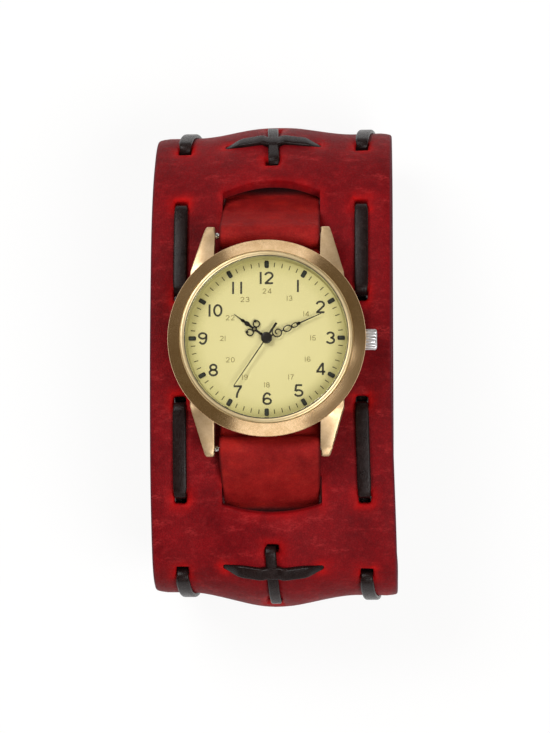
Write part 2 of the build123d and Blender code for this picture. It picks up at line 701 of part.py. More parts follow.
with BuildPart() as minute_hand:
    with BuildSketch(hand_plane(minute_height, minute_angle)):
        ring_reach, ring_radius = (minute_length * minute_ring_share, minute_length * minute_ring_radius_share)
        ring_at(0, ring_reach, ring_radius, ring_radius - hand_bar * 2 / 3)
        with Locations((0, hand_boss_radius)):
            Rectangle(hand_bar, 2 * (ring_reach - ring_radius - hand_boss_radius) + hand_bar)
        with Locations((0, minute_length * minute_oval_share)):
            for width, length, mode in minute_oval_shares:
                Ellipse(hand_bar * width, minute_length * length, mode=mode)
        for middle, length in minute_bar_shares:
            with Locations((0, minute_length * middle)):
                Rectangle(hand_bar, minute_length * length)
        for middle, length, width in minute_swell_shares:
            lozenge(minute_length * middle, minute_length * length, hand_bar * width)
        spear(minute_length / 2, minute_length, hand_bar)
        Circle(hand_boss_radius)
        Circle(cannon_radius, mode=Mode.SUBTRACT)
    extrude(amount=hand_thickness)
finish(minute_hand, "minute_hand")

with BuildPart() as second_hand:
    with BuildSketch(hand_plane(second_height, second_angle)):
        Circle(hand_cap_radius)
    extrude(amount=hand_cap_height)
    fillet(second_hand.edges().group_by(Axis.Z)[-1], radius=hand_cap_height / 3)
    with BuildSketch(hand_plane(second_height, second_angle)):
        with Locations((0, (second_length - second_tail) / 2)):
            Rectangle(hand_bar / 2, second_length + second_tail)
    extrude(amount=hand_thickness * 2 / 3)
finish(second_hand, "second_hand")

# Spring bars, each a tube with a spring between two stepped tips.
half_bar, half_gap = bar_length / 2, lug_gap / 2
collar_outer = half_gap - loose_fit - fit
collar_inner = collar_outer - tip_collar
plunger_inner = collar_inner - tip_plunger_length


def bar_piece(side, start, length, radius, bore=0):
    """A round length of a spring bar, starting at a distance from the middle and running along X."""
    with BuildSketch(Plane(origin=(watch_x + start, watch_y + side * bar_y, bar_z), x_dir=(0, 1, 0),
                           z_dir=(1, 0, 0))) as round_face:
        Circle(radius)
        if bore:
            Circle(bore, mode=Mode.SUBTRACT)
    extrude(round_face.sketch, amount=length)


for side, place in ((1, "upper"), (-1, "lower")):
    with BuildPart() as bar_tube:
        bar_piece(side, -half_bar, bar_length, bar_radius, bar_bore)
    finish(bar_tube, f"spring_bar_tube_{place}")
    with BuildPart() as bar_spring:
        half_spring = plunger_inner - fit
        bar_piece(side, -half_spring, 2 * half_spring, tip_plunger_radius, bar_spring_inner)
    finish(bar_spring, f"spring_bar_spring_{place}")
    for hand, flank in ((1, "right"), (-1, "left")):
        with BuildPart() as bar_tip:
            bar_piece(side, hand * plunger_inner, hand * tip_plunger_length, tip_plunger_radius)
            bar_piece(side, hand * collar_inner, hand * tip_collar, tip_collar_radius)
            bar_piece(side, hand * collar_outer, hand * (tip_pin_reach + half_gap - collar_outer),
                      tip_pin_radius)
        finish(bar_tip, f"spring_bar_tip_{place}_{flank}")

# Crown, its tube, gasket and stem.
crown_start = case_radius_top + crown_stand
crown_end = crown_start + crown_length
recess_end = crown_start + crown_recess_depth
tube_end = case_radius_top + tube_stand

with BuildPart() as crown:
    with BuildSketch(sideways(crown_start, stem_z)):
        Circle(crown_radius)
        with PolarLocations(crown_radius, knurl_count):
            Circle(knurl_depth, mode=Mode.SUBTRACT)
    extrude(amount=crown_length - crown_bevel)
    with BuildSketch(sideways(crown_end - crown_bevel, stem_z)):
        Circle(crown_radius - knurl_depth)
    extrude(amount=crown_bevel)
    chamfer(crown.edges().group_by(Axis.X)[-1], length=crown_bevel * 2 / 3)
    with BuildSketch(sideways(crown_start, stem_z)):
        Circle(crown_recess_radius)
    extrude(amount=crown_recess_depth, mode=Mode.SUBTRACT)
finish(crown, "crown")

with BuildPart() as crown_tube:
    with BuildSketch(sideways(case_bore + fit, stem_z)):
        Circle(tube_radius)
        Circle(tube_bore, mode=Mode.SUBTRACT)
    extrude(amount=tube_end - case_bore - fit)
finish(crown_tube, "crown_tube")

with BuildPart() as crown_gasket:
    with BuildSketch(sideways(crown_start + fit, stem_z)):
        Circle(crown_recess_radius - fit)
        Circle(tube_radius + fit, mode=Mode.SUBTRACT)
    extrude(amount=crown_gasket_width)
finish(crown_gasket, "crown_gasket")

with BuildPart() as stem:
    with BuildSketch(sideways(stem_inner_end, stem_z)):
        Circle(stem_radius)
    extrude(amount=recess_end - stem_inner_end)
    with BuildSketch(sideways(stem_groove_x - stem_groove_width / 2, stem_z)):
        Circle(stem_radius + overrun)
        Circle(stem_groove_radius, mode=Mode.SUBTRACT)
    extrude(amount=stem_groove_width, mode=Mode.SUBTRACT)
finish(stem, "stem")

# Movement holder ring.
with BuildPart() as holder_ring:
    with BuildSketch(level(ledge_top)):
        Circle(dial_radius)
        Circle(plate_radius + loose_fit, mode=Mode.SUBTRACT)
    extrude(amount=dial_bottom - ledge_top)
    with BuildSketch(sideways(0, stem_z)):
        Circle(tube_bore)
    extrude(amount=case_bore, mode=Mode.SUBTRACT)
finish(holder_ring, "holder_ring")

# Places of the wheels, worked out from their teeth.
train_distance = train_module * (leaf_count + third_teeth) / 2
centre_module = train_distance * 2 / (leaf_count + centre_teeth)
drive_distance = drive_module * (fourth_teeth + leaf_count) / 2
rotor_distance = rotor_module * (intermediate_teeth + rotor_leaves) / 2
motion_distance = motion_module * (cannon_teeth + minute_teeth) / 2
hour_module = motion_distance * 2 / (minute_leaves + hour_teeth)
setting_x = 2 * motion_distance * cos(radians(minute_direction))


def polar(distance, direction):
    """A place at a distance and a direction in degrees from +X."""
    return distance * cos(radians(direction)), distance * sin(radians(direction))


third_x, third_y = polar(train_distance, third_direction)
intermediate_x, intermediate_y = polar(drive_distance, intermediate_direction)
rotor_x, rotor_y = polar(drive_distance + rotor_distance, intermediate_direction)
minute_x, minute_y = polar(motion_distance, minute_direction)
setting_direction = -minute_direction
setting_y = 0


def teeth_outline(teeth, module, direction, facing_gap=False):
    """Corners of a toothed wheel with a tooth, or a gap, towards a direction."""
    root, tip = module * (teeth / 2 - root_share), module * (teeth / 2 + tip_share)
    pitch = 360 / teeth
    start = direction + (pitch / 2 if facing_gap else 0)
    corners = []
    for tooth in range(teeth):
        middle = start + tooth * pitch
        wide, slim = root_pitch_share * pitch, tip_pitch_share * pitch
        corners += [polar(root, middle - wide), polar(tip, middle - slim),
                    polar(tip, middle + slim), polar(root, middle + wide)]
    return corners


def toothed(top, thickness, place, teeth, module, direction, facing_gap=False):
    """A toothed disc whose upper face lies at a depth under the dial."""
    with BuildSketch(depth(top + thickness, *place)) as disc:
        with BuildLine():
            Polyline(*teeth_outline(teeth, module, direction, facing_gap), close=True)
        make_face()
    extrude(disc.sketch, amount=thickness)


def rod(top, bottom, place, radius, mode=Mode.ADD):
    """A round rod, or hole, between two depths under the dial."""
    with BuildSketch(depth(bottom, *place)) as disc:
        Circle(radius)
    extrude(disc.sketch, amount=bottom - top, mode=mode)


centre = (0, 0)
arbor_top, arbor_bottom = plate_thickness - pivot_reach, bridge_top + 2 * pivot_reach
third_place, rotor_place = (third_x, third_y), (rotor_x, rotor_y)
intermediate_place, minute_place = (intermediate_x, intermediate_y), (minute_x, minute_y)
setting_place = (setting_x, setting_y)
second_bore = arbor_radius + fit
centre_arbor_radius = second_bore + 3 * fit
cannon_top = -dial_thickness - minute_height - hand_thickness
hour_tube_top = -dial_thickness - hour_height - hand_thickness
cannon_seat = plate_floor / 2

with BuildPart() as fourth_wheel:
    toothed(fourth_level, wheel_thickness, centre, fourth_teeth, drive_module, intermediate_direction)
    toothed(third_level, wheel_thickness * 2, centre, leaf_count, train_module, third_direction)
    rod(-dial_thickness - second_height, arbor_bottom, centre, arbor_radius)
finish(fourth_wheel, "fourth_wheel")

with BuildPart() as third_wheel:
    toothed(third_level, wheel_thickness, third_place, third_teeth, train_module, third_direction,
            facing_gap=True)
    toothed(centre_level, third_level - centre_level, third_place, leaf_count, centre_module,
            third_direction)
    rod(arbor_top, arbor_bottom, third_place, arbor_radius)
finish(third_wheel, "third_wheel")

with BuildPart() as centre_wheel:
    toothed(centre_level, wheel_thickness, centre, centre_teeth, centre_module, third_direction,
            facing_gap=True)
    rod(cannon_seat, centre_level + wheel_thickness, centre, centre_arbor_radius)
    rod(cannon_seat, centre_level + wheel_thickness, centre, second_bore, Mode.SUBTRACT)
finish(centre_wheel, "centre_wheel")

with BuildPart() as intermediate_wheel:
    toothed(third_level, wheel_thickness, intermediate_place, intermediate_teeth, rotor_module,
            intermediate_direction)
    toothed(fourth_level, wheel_thickness, intermediate_place, leaf_count, drive_module,
            intermediate_direction, facing_gap=True)
    rod(arbor_top, arbor_bottom, intermediate_place, arbor_radius)
finish(intermediate_wheel, "intermediate_wheel")

with BuildPart() as rotor:
    toothed(magnet_bottom, wheel_thickness * 2, rotor_place, rotor_leaves, rotor_module,
            intermediate_direction, facing_gap=True)
    rod(magnet_top, magnet_bottom, rotor_place, magnet_radius)
    rod(arbor_top, arbor_bottom, rotor_place, arbor_radius)
finish(rotor, "rotor")

with BuildPart() as cannon_pinion:
    toothed(minute_level, wheel_thickness, centre, cannon_teeth, motion_module, minute_direction)
    rod(cannon_top, minute_level + wheel_thickness, centre, cannon_radius)
    rod(cannon_top, minute_level + wheel_thickness, centre, second_bore, Mode.SUBTRACT)
    rod(cannon_seat, minute_level + wheel_thickness, centre, centre_arbor_radius + fit / 2, Mode.SUBTRACT)
finish(cannon_pinion, "cannon_pinion")

with BuildPart() as minute_wheel:
    toothed(minute_level, wheel_thickness, minute_place, minute_teeth, motion_module, minute_direction,
            facing_gap=True)
    toothed(hour_level - fit, minute_level - hour_level + fit, minute_place, minute_leaves, hour_module,
            minute_direction)
    rod(0, plate_thickness, minute_place, arbor_radius + fit, Mode.SUBTRACT)
finish(minute_wheel, "minute_wheel")

with BuildPart() as hour_wheel:
    toothed(hour_level, wheel_thickness, centre, hour_teeth, hour_module, minute_direction,
            facing_gap=True)
    rod(hour_tube_top, hour_level + wheel_thickness, centre, hour_tube_radius)
    rod(hour_tube_top, hour_level + wheel_thickness, centre, cannon_radius + fit, Mode.SUBTRACT)
finish(hour_wheel, "hour_wheel")

setting_bottom = plate_thickness - 5 * fit
with BuildPart() as setting_wheel:
    toothed(minute_level, setting_bottom - minute_level, setting_place, setting_teeth, motion_module,
            180 + setting_direction, facing_gap=True)
    rod(0, plate_thickness, setting_place, arbor_radius + fit, Mode.SUBTRACT)
finish(setting_wheel, "setting_wheel")

# Main plate: pockets for the motion work above, bearings in its floor, pillars and posts below.
floor_depth = plate_thickness - plate_floor
battery_top = plate_thickness + fit
battery_span = hypot(battery_x, battery_y)
clip_reach = battery_radius + clip_post_radius + 2 * loose_fit
minute_reach = motion_module * (minute_teeth / 2 + 1) + loose_fit
hour_reach = hour_module * (hour_teeth / 2 + 1) + loose_fit
setting_reach = motion_module * (setting_teeth / 2 + 1) + loose_fit
window_start = setting_x + setting_reach - 2 * fit
window_end = stem_groove_x - stem_groove_width / 2
with BuildPart() as main_plate:
    rod(0, plate_thickness, centre, plate_radius)
    rod(0, floor_depth, centre, hour_reach, Mode.SUBTRACT)
    rod(0, floor_depth, minute_place, minute_reach, Mode.SUBTRACT)
    rod(0, setting_bottom + fit, setting_place, setting_reach, Mode.SUBTRACT)
    with BuildSketch(depth(plate_thickness, (window_start + window_end) / 2, 0)):
        Rectangle(window_end - window_start, 2 * window_half_width)
    extrude(amount=plate_thickness, mode=Mode.SUBTRACT)
    with BuildSketch(sideways(window_start, stem_z)):
        Circle(stem_radius + loose_fit)
    extrude(amount=plate_radius, mode=Mode.SUBTRACT)
    rod(0, plate_thickness, centre, centre_arbor_radius + fit, Mode.SUBTRACT)
    for place in (third_place, intermediate_place, rotor_place):
        rod(arbor_top, plate_thickness, place, arbor_radius + fit, Mode.SUBTRACT)
    rod(hour_level, floor_depth, minute_place, arbor_radius)
    rod(minute_level, setting_bottom + fit, setting_place, arbor_radius)
    for place in pillars:
        rod(plate_thickness, bridge_top, place, pillar_radius)
    for side in (-1, 1):
        post = (battery_x - side * clip_reach * battery_y / battery_span,
                battery_y + side * clip_reach * battery_x / battery_span)
        rod(plate_thickness, battery_top + battery_height, post, clip_post_radius)
    rod(plate_thickness, stem_depth + lever_thickness, (lever_pivot_x, lever_pivot_y), lever_post_radius)
finish(main_plate, "main_plate")

with BuildPart() as train_bridge:
    with BuildSketch(depth(bridge_top + bridge_thickness)):
        for place in (*pillars, rotor_place):
            with Locations(place):
                Circle(pillar_radius + fit)
        make_hull()
        for place in (centre, third_place, intermediate_place, rotor_place):
            with Locations(place):
                Circle(arbor_radius + fit, mode=Mode.SUBTRACT)
    extrude(amount=bridge_thickness)
finish(train_bridge, "train_bridge")

# Motor: a stator with the rotor's hole, and the coil on its core.
with BuildPart() as stator:
    with BuildSketch(depth(stator_level + stator_thickness)):
        with BuildLine():
            left, right = stator_left, stator_right
            Polyline((left, stator_top), (right, stator_top), (right, stator_foot),
                     (right - stator_leg, stator_foot), (right - stator_leg, stator_neck),
                     (left + stator_leg, stator_neck), (left + stator_leg, stator_foot),
                     (left, stator_foot), close=True)
        make_face()
        with Locations(rotor_place):
            Circle(rotor_hole, mode=Mode.SUBTRACT)
    extrude(amount=stator_thickness)
finish(stator, "stator")

core_top = stator_level + stator_thickness
core_middle_x = (stator_left + stator_right) / 2
with BuildPart() as coil_core:
    with BuildSketch(depth(core_top + core_thickness, core_middle_x, core_y)):
        Rectangle(stator_right - stator_left, core_width)
    extrude(amount=core_thickness)
finish(coil_core, "coil_core")

coil_start = stator_left + stator_leg + coil_shoulder
coil_length = stator_right - stator_left - 2 * (stator_leg + coil_shoulder)
coil_plane = Plane(origin=(watch_x + coil_start, watch_y + core_y, dial_bottom - core_top - core_thickness / 2),
                   x_dir=(0, 1, 0), z_dir=(1, 0, 0))
with BuildPart() as coil:
    with BuildSketch(coil_plane):
        Circle(coil_radius)
        Rectangle(core_width + fit, core_thickness + fit, mode=Mode.SUBTRACT)
    extrude(amount=coil_length)
finish(coil, "coil")

# Circuit board with its chip, the quartz in its can, and the battery under its clip.
with BuildPart() as circuit_board:
    with BuildSketch(depth(board_top + board_thickness)):
        with BuildLine():
            span = board_last - board_first
            CenterArc(centre, board_outer, board_first, span)
            CenterArc(centre, board_inner, board_first, span)
            for angle in (board_first, board_last):
                Line(polar(board_inner, angle), polar(board_outer, angle))
        make_face()
    extrude(amount=board_thickness)
    chip_place = polar((board_inner + board_outer) / 2, board_last - span / 6)
    rod(board_top + board_thickness, board_top + board_thickness + chip_height, chip_place, chip_radius)
finish(circuit_board, "circuit_board")

can_x, can_y = polar(can_reach, can_direction)
can_turn = radians(can_direction + 90)
can_plane = Plane(origin=(watch_x + can_x - can_length / 2 * cos(can_turn),
                          watch_y + can_y - can_length / 2 * sin(can_turn),
                          dial_bottom - board_top - board_thickness - fit - can_radius),
                  x_dir=(0, 0, 1), z_dir=(cos(can_turn), sin(can_turn), 0))
with BuildPart() as quartz_can:
    with BuildSketch(can_plane):
        Circle(can_radius)
    extrude(amount=can_length)
    fillet(quartz_can.edges(), radius=can_radius / 4)
finish(quartz_can, "quartz_can")

with BuildPart() as battery:
    rod(battery_top, battery_top + battery_height, (battery_x, battery_y), battery_radius)
    fillet(battery.edges().group_by(Axis.Z)[0], radius=battery_height / 8)
finish(battery, "battery")

with BuildPart() as battery_clip:
    clip_plane = depth(battery_top + battery_height + clip_thickness, battery_x, battery_y)
    with BuildSketch(clip_plane.rotated((0, 0, degrees(atan2(battery_y, battery_x)) + 90))):
        Rectangle(clip_length, clip_width)
        with Locations((0, -clip_width)):
            Rectangle(clip_width / 2, clip_width)
    extrude(amount=clip_thickness)
finish(battery_clip, "battery_clip")

# Keyless work: the sliding pinion on the stem, and the lever whose finger lies in the stem's groove.
clutch_start = setting_x + motion_module * (setting_teeth / 2 + 1) + clutch_gap
with BuildPart() as sliding_pinion:
    with BuildSketch(sideways(clutch_start, stem_z)):
        Circle(clutch_radius)
        with PolarLocations(clutch_radius, setting_teeth):
            Circle(clutch_radius / 6, mode=Mode.SUBTRACT)
        Circle(stem_radius + fit, mode=Mode.SUBTRACT)
    extrude(amount=clutch_length / 3)
    with BuildSketch(sideways(clutch_start + clutch_length / 3, stem_z)):
        Circle(clutch_radius * 2 / 3)
        Circle(stem_radius + fit, mode=Mode.SUBTRACT)
    extrude(amount=clutch_length * 2 / 3)
finish(sliding_pinion, "sliding_pinion")

lever_top = stem_depth - lever_thickness / 2
with BuildPart() as setting_lever:
    with BuildSketch(depth(lever_top + lever_thickness, lever_pivot_x, lever_pivot_y)):
        Circle(lever_head)
        finger = -lever_pivot_y - stem_groove_radius - fit
        Rectangle(lever_finger, finger, align=(Align.CENTER, Align.MIN))
        Circle(lever_post_radius + fit / 2, mode=Mode.SUBTRACT)
    extrude(amount=lever_thickness)
finish(setting_lever, "setting_lever")

# The places that the joints turn about.
for name, value in (("cuff y", cuff_y), ("watch y", watch_y), ("outer hinge y", outer_hinge_y),
                    ("inner hinge y", inner_hinge_y), ("inner hinge z", flap_rise),
                    ("dial bottom z", dial_bottom), ("stem z", stem_z), ("bar z", bar_z),
                    ("third", third_place), ("intermediate", intermediate_place), ("rotor", rotor_place),
                    ("minute wheel", minute_place), ("setting wheel", setting_place)):
    print(name, value)
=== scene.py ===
"""A quartz wristwatch on one red leather strap, laced to a wide red leather cuff.

Sizes are in millimetres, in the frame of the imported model, and each finished piece is scaled to metres.
+Z is the dial's normal, +X points to the crown and +Y to twelve o'clock. Lengths along the cuff are
measured over its outer face from the crest under the dial, and heights out from that face.
"""

import logging
import math
from collections.abc import Callable, Iterable, Sequence
from dataclasses import dataclass, field
from enum import Enum
from typing import ClassVar

import bmesh
import bpy
from mathutils import Matrix, Vector, noise


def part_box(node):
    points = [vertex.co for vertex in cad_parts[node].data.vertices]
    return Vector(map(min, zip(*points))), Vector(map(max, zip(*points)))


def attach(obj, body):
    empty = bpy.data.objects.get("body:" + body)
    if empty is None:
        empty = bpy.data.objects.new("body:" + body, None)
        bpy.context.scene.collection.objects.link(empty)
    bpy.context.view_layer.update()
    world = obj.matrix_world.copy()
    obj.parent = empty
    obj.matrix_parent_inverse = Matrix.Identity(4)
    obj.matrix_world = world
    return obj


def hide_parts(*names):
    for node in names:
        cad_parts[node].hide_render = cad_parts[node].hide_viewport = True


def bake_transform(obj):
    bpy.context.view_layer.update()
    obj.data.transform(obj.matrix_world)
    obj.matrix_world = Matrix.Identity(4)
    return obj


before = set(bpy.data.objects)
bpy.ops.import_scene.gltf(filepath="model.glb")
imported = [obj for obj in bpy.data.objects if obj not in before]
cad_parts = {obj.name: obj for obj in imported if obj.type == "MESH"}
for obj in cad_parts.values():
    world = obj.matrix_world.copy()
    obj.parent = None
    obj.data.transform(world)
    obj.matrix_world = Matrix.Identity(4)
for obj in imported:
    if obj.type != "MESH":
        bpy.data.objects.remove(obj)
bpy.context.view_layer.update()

log = logging.getLogger("cuff_watch")

MM = 0.001
SHARP_ANGLE = math.radians(40)
WATCH_BODY = "watch_and_cuff"

Colour = tuple[int, int, int]
Point = tuple[float, float]
Shader = bpy.types.Material


def linear(colour: Colour) -> tuple[float, float, float, float]:
    """The shader's value of a colour.

    Args:
        colour: Red, green and blue from 0 to 255, as a screen shows them.

    Returns:
        Red, green, blue and alpha from 0 to 1 in linear light.
    """
    toe, slope, offset, power = 0.04045, 12.92, 0.055, 2.4
    parts = [part / 255 for part in colour]
    parts = [part / slope if part < toe else ((part + offset) / (1 + offset)) ** power for part in parts]
    return (*parts, 1.0)


def smooth(value: float, start: float, end: float) -> float:
    """A share that rises smoothly from 0 at start to 1 at end."""
    share = max(0.0, min(1.0, (value - start) / (end - start)))
    return share * share * (3 - 2 * share)


def node_box(name: str) -> tuple[Vector, Vector]:
    """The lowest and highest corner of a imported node, in millimetres."""
    low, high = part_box(name)
    return low / MM, high / MM


def spread(marks: Iterable[float], step: float) -> list[float]:
    """Places from the first mark to the last, with every mark among them.

    Args:
        marks: Places that have to be in the list.
        step: The widest gap between two places.

    Returns:
        The places in rising order.
    """
    ordered = sorted(set(marks))
    places = [ordered[0]]
    for low, high in zip(ordered, ordered[1:]):
        count = max(1, round((high - low) / step))
        places += [low + (high - low) * turn / count for turn in range(1, count + 1)]
    return places


def rounded_path(corners: Sequence[Point], radii: Sequence[float], step: float) -> list[Vector]:
    """Points along a line whose corners are rounded.

    Args:
        corners: The line's corners, in a plane.
        radii: The radius at each corner but the first and last.
        step: About how far apart the points lie.

    Returns:
        The points as plane vectors.
    """
    spots = [Vector(corner) for corner in corners]
    path = [spots[0]]
    for before, corner, after, radius in zip(spots, spots[1:], spots[2:], radii):
        inward, outward = (before - corner).normalized(), (after - corner).normalized()
        half = inward.angle(outward) / 2
        if not radius or math.pi / 2 - half < math.radians(0.2):
            path.append(corner)
            continue
        reach = radius / math.tan(half)
        centre = corner + (inward + outward).normalized() * radius / math.sin(half)
        start, end = ((corner + way * reach - centre).normalized() for way in (inward, outward))
        count = max(3, round((math.pi - 2 * half) * radius / step))
        path += [centre + start.slerp(end, turn / count) * radius for turn in range(count + 1)]
    path.append(spots[-1])
    filled = [path[0]]
    for low, high in zip(path, path[1:]):
        count = max(1, round((high - low).length / step))
        filled += [low.lerp(high, turn / count) for turn in range(1, count + 1)]
    return filled


class Side(Enum):
    """Which side of the dial a piece lies on, along the cuff."""

    UPPER = 1
    LOWER = -1


class Brushing(Enum):
    """The way a metal's fine lines run."""

    NONE = "none"
    ROUND = "round"
    ALONG = "along"
    ACROSS = "across"


class Wiring:
    """Adds shader nodes to one tree and joins them."""

    def __init__(self, tree: bpy.types.NodeTree) -> None:
        """Keeps the tree that the nodes go into."""
        self.tree = tree

    def set(self, socket: bpy.types.NodeSocket, value: object) -> None:
        """Joins a socket to another one, or gives it a value."""
        if isinstance(value, bpy.types.NodeSocket):
            self.tree.links.new(value, socket)
        else:
            socket.default_value = value

    def node(self, kind: str, **settings: object) -> bpy.types.Node:
        """Adds a node.

        Args:
            kind: The node's type.
            settings: Inputs start with a capital and have _ for a space; the rest are its own options.

        Returns:
            The node.
        """
        made = self.tree.nodes.new(kind)
        for name, value in settings.items():
            if not name[0].isupper():
                setattr(made, name, value)
        for name, value in settings.items():
            if name[0].isupper():
                self.set(made.inputs[name.replace("_", " ")], value)
        return made

    def math(self, operation: str, *values: object, clamp: bool = False) -> bpy.types.NodeSocket:
        """One sum of numbers."""
        made = self.node("ShaderNodeMath", operation=operation, use_clamp=clamp)
        for socket, value in zip(made.inputs, values):
            self.set(socket, value)
        return made.outputs[0]

    def mix(self, share: object, first: object, second: object) -> bpy.types.NodeSocket:
        """A colour between two colours."""
        made = self.node("ShaderNodeMix", data_type="RGBA")
        for number, value in ((0, share), (6, first), (7, second)):
            self.set(made.inputs[number], value)
        return made.outputs[2]

    def between(self, value: object, low: float, high: float, first: object = 0.0,
                last: object = 1.0) -> bpy.types.NodeSocket:
        """Moves a value from the range low to high into the range first to last."""
        return self.node("ShaderNodeMapRange", Value=value, From_Min=low, From_Max=high, To_Min=first,
                         To_Max=last).outputs[0]

    def noise(self, vector: object, scale: object, detail: float = 3.0,
              rough: float = 0.55) -> bpy.types.NodeSocket:
        """A cloudy value about a half."""
        return self.node("ShaderNodeTexNoise", Vector=vector, Scale=scale, Detail=detail,
                         Roughness=rough).outputs["Fac"]

    def use(self, effect: bpy.types.NodeTree, **inputs: object) -> bpy.types.Node:
        """Places an effect with its own values."""
        made = self.node("ShaderNodeGroup", node_tree=effect)
        for name, value in inputs.items():
            self.set(made.inputs[name.replace("_", " ")], value)
        return made


class Effects:
    """Shader effects that several finishes share, each made once."""

    made: dict[str, bpy.types.NodeTree] = {}

    @classmethod
    def group(cls, name: str, inputs: dict[str, str], outputs: Sequence[str],
              fill: Callable[[Wiring, bpy.types.Node], dict[str, object]]) -> bpy.types.NodeTree:
        """Makes a node group, or gives back the one that was made.

        Args:
            name: The group's name.
            inputs: The kind of each input socket.
            outputs: The names of its output values.
            fill: Adds the nodes, and gives the socket for each output.

        Returns:
            The group.
        """
        if name not in cls.made:
            tree = bpy.data.node_groups.new(name, "ShaderNodeTree")
            for label, kind in inputs.items():
                tree.interface.new_socket(label, in_out="INPUT", socket_type=kind)
            for label in outputs:
                tree.interface.new_socket(label, in_out="OUTPUT", socket_type="NodeSocketFloat")
            wiring = Wiring(tree)
            found = fill(wiring, tree.nodes.new("NodeGroupInput"))
            end = tree.nodes.new("NodeGroupOutput")
            for label, socket in found.items():
                wiring.set(end.inputs[label], socket)
            cls.made[name] = tree
        return cls.made[name]

    @classmethod
    def mottle(cls) -> bpy.types.NodeTree:
        """Cloudy patches of a size in millimetres."""
        def fill(w: Wiring, given: bpy.types.Node) -> dict[str, object]:
            scale = w.math("DIVIDE", 1 / MM, given.outputs["Size"])
            broad = w.noise(given.outputs["Vector"], scale, 6.0, 0.62)
            fine = w.noise(given.outputs["Vector"], w.math("MULTIPLY", scale, 5.3), 3.0, 0.6)
            both = w.math("MULTIPLY_ADD", fine, 0.35, w.math("MULTIPLY", broad, 0.65))
            spreading = w.math("MULTIPLY", w.math("SUBTRACT", both, 0.5), given.outputs["Contrast"])
            return {"Share": w.math("ADD", spreading, 0.5, clamp=True)}
        sockets = {"Vector": "NodeSocketVector", "Size": "NodeSocketFloat", "Contrast": "NodeSocketFloat"}
        return cls.group("mottle", sockets, ["Share"], fill)

    @classmethod
    def grain(cls) -> bpy.types.NodeTree:
        """Pebbled hide: rounded cells with creases between them."""
        def fill(w: Wiring, given: bpy.types.Node) -> dict[str, object]:
            scale = w.math("DIVIDE", 1 / MM, given.outputs["Size"])
            bent = w.node("ShaderNodeTexNoise", Vector=given.outputs["Vector"], Scale=scale, Detail=2.0)
            shift = w.node("ShaderNodeVectorMath", operation="MULTIPLY_ADD")
            for socket, value in zip(shift.inputs, (bent.outputs["Color"], (0.4 * MM,) * 3,
                                                    given.outputs["Vector"])):
                w.set(socket, value)
            cells = w.node("ShaderNodeTexVoronoi", feature="DISTANCE_TO_EDGE", Vector=shift.outputs[0],
                           Scale=scale)
            crease = w.between(cells.outputs["Distance"], 0.0, 0.18)
            fine = w.noise(given.outputs["Vector"], w.math("MULTIPLY", scale, 3.1), 4.0, 0.65)
            height = w.math("MULTIPLY_ADD", fine, 0.5, w.math("MULTIPLY", crease, 0.5))
            return {"Height": height, "Crease": crease}
        sockets = {"Vector": "NodeSocketVector", "Size": "NodeSocketFloat"}
        return cls.group("grain", sockets, ["Height", "Crease"], fill)

    @classmethod
    def scuffs(cls) -> bpy.types.NodeTree:
        """Soft rubbed blotches, broken into short streaks."""
        def fill(w: Wiring, given: bpy.types.Node) -> dict[str, object]:
            scale = w.math("DIVIDE", 1 / MM, given.outputs["Size"])
            drawn = w.node("ShaderNodeMapping", Vector=given.outputs["Vector"], Scale=(1.0, 2.6, 1.6),
                           Rotation=(0.0, 0.0, 0.35)).outputs[0]
            blot = w.between(w.noise(drawn, scale, 7.0, 0.72), 0.54, 0.72)
            fine = w.between(w.noise(drawn, w.math("MULTIPLY", scale, 11.0), 3.0, 0.7), 0.38, 0.62)
            both = w.math("MULTIPLY", blot, fine)
            return {"Mask": w.math("MULTIPLY", both, given.outputs["Amount"], clamp=True)}
        sockets = {"Vector": "NodeSocketVector", "Size": "NodeSocketFloat", "Amount": "NodeSocketFloat"}
        return cls.group("scuffs", sockets, ["Mask"], fill)

    @classmethod
    def brushed(cls) -> bpy.types.NodeTree:
        """Fine straight lines, each across one coordinate given in metres."""
        def fill(w: Wiring, given: bpy.types.Node) -> dict[str, object]:
            lines = w.node("ShaderNodeTexNoise", noise_dimensions="1D", Detail=6.0, Roughness=0.8,
                           Scale=w.math("DIVIDE", 1 / MM, given.outputs["Size"]),
                           W=given.outputs["Across"])
            return {"Lines": lines.outputs["Fac"]}
        sockets = {"Across": "NodeSocketFloat", "Size": "NodeSocketFloat"}
        return cls.group("brushed", sockets, ["Lines"], fill)


@dataclass(frozen=True)
class Finish:
    """What every finish has: a name, and a material made from it once."""

    name: str
    made: ClassVar[dict[str, Shader]] = {}

    def paint(self, w: Wiring, coords: bpy.types.NodeSocket, shader: bpy.types.Node) -> None:
        """Joins the colours and the relief to the shader."""
        raise NotImplementedError

    def material(self) -> Shader:
        """The finish as a material, made at its first use."""
        if self.name in self.made:
            return self.made[self.name]
        made = bpy.data.materials.new(self.name)
        self.made[self.name] = made
        made.use_nodes = True
        w = Wiring(made.node_tree)
        shader = made.node_tree.nodes["Principled BSDF"]
        self.paint(w, w.node("ShaderNodeTexCoord").outputs["Object"], shader)
        return made

    def relief(self, w: Wiring, shader: bpy.types.Node, height: object, depth: float) -> None:
        """Joins a height to the shader's normal.

        Args:
            w: The material's wiring.
            shader: The shader that takes the normal.
            height: The height's socket, from 0 to 1.
            depth: How deep the relief is, in millimetres.
        """
        bump = w.node("ShaderNodeBump", Height=height, Distance=depth * MM, Strength=1.0)
        w.set(shader.inputs["Normal"], bump.outputs[0])


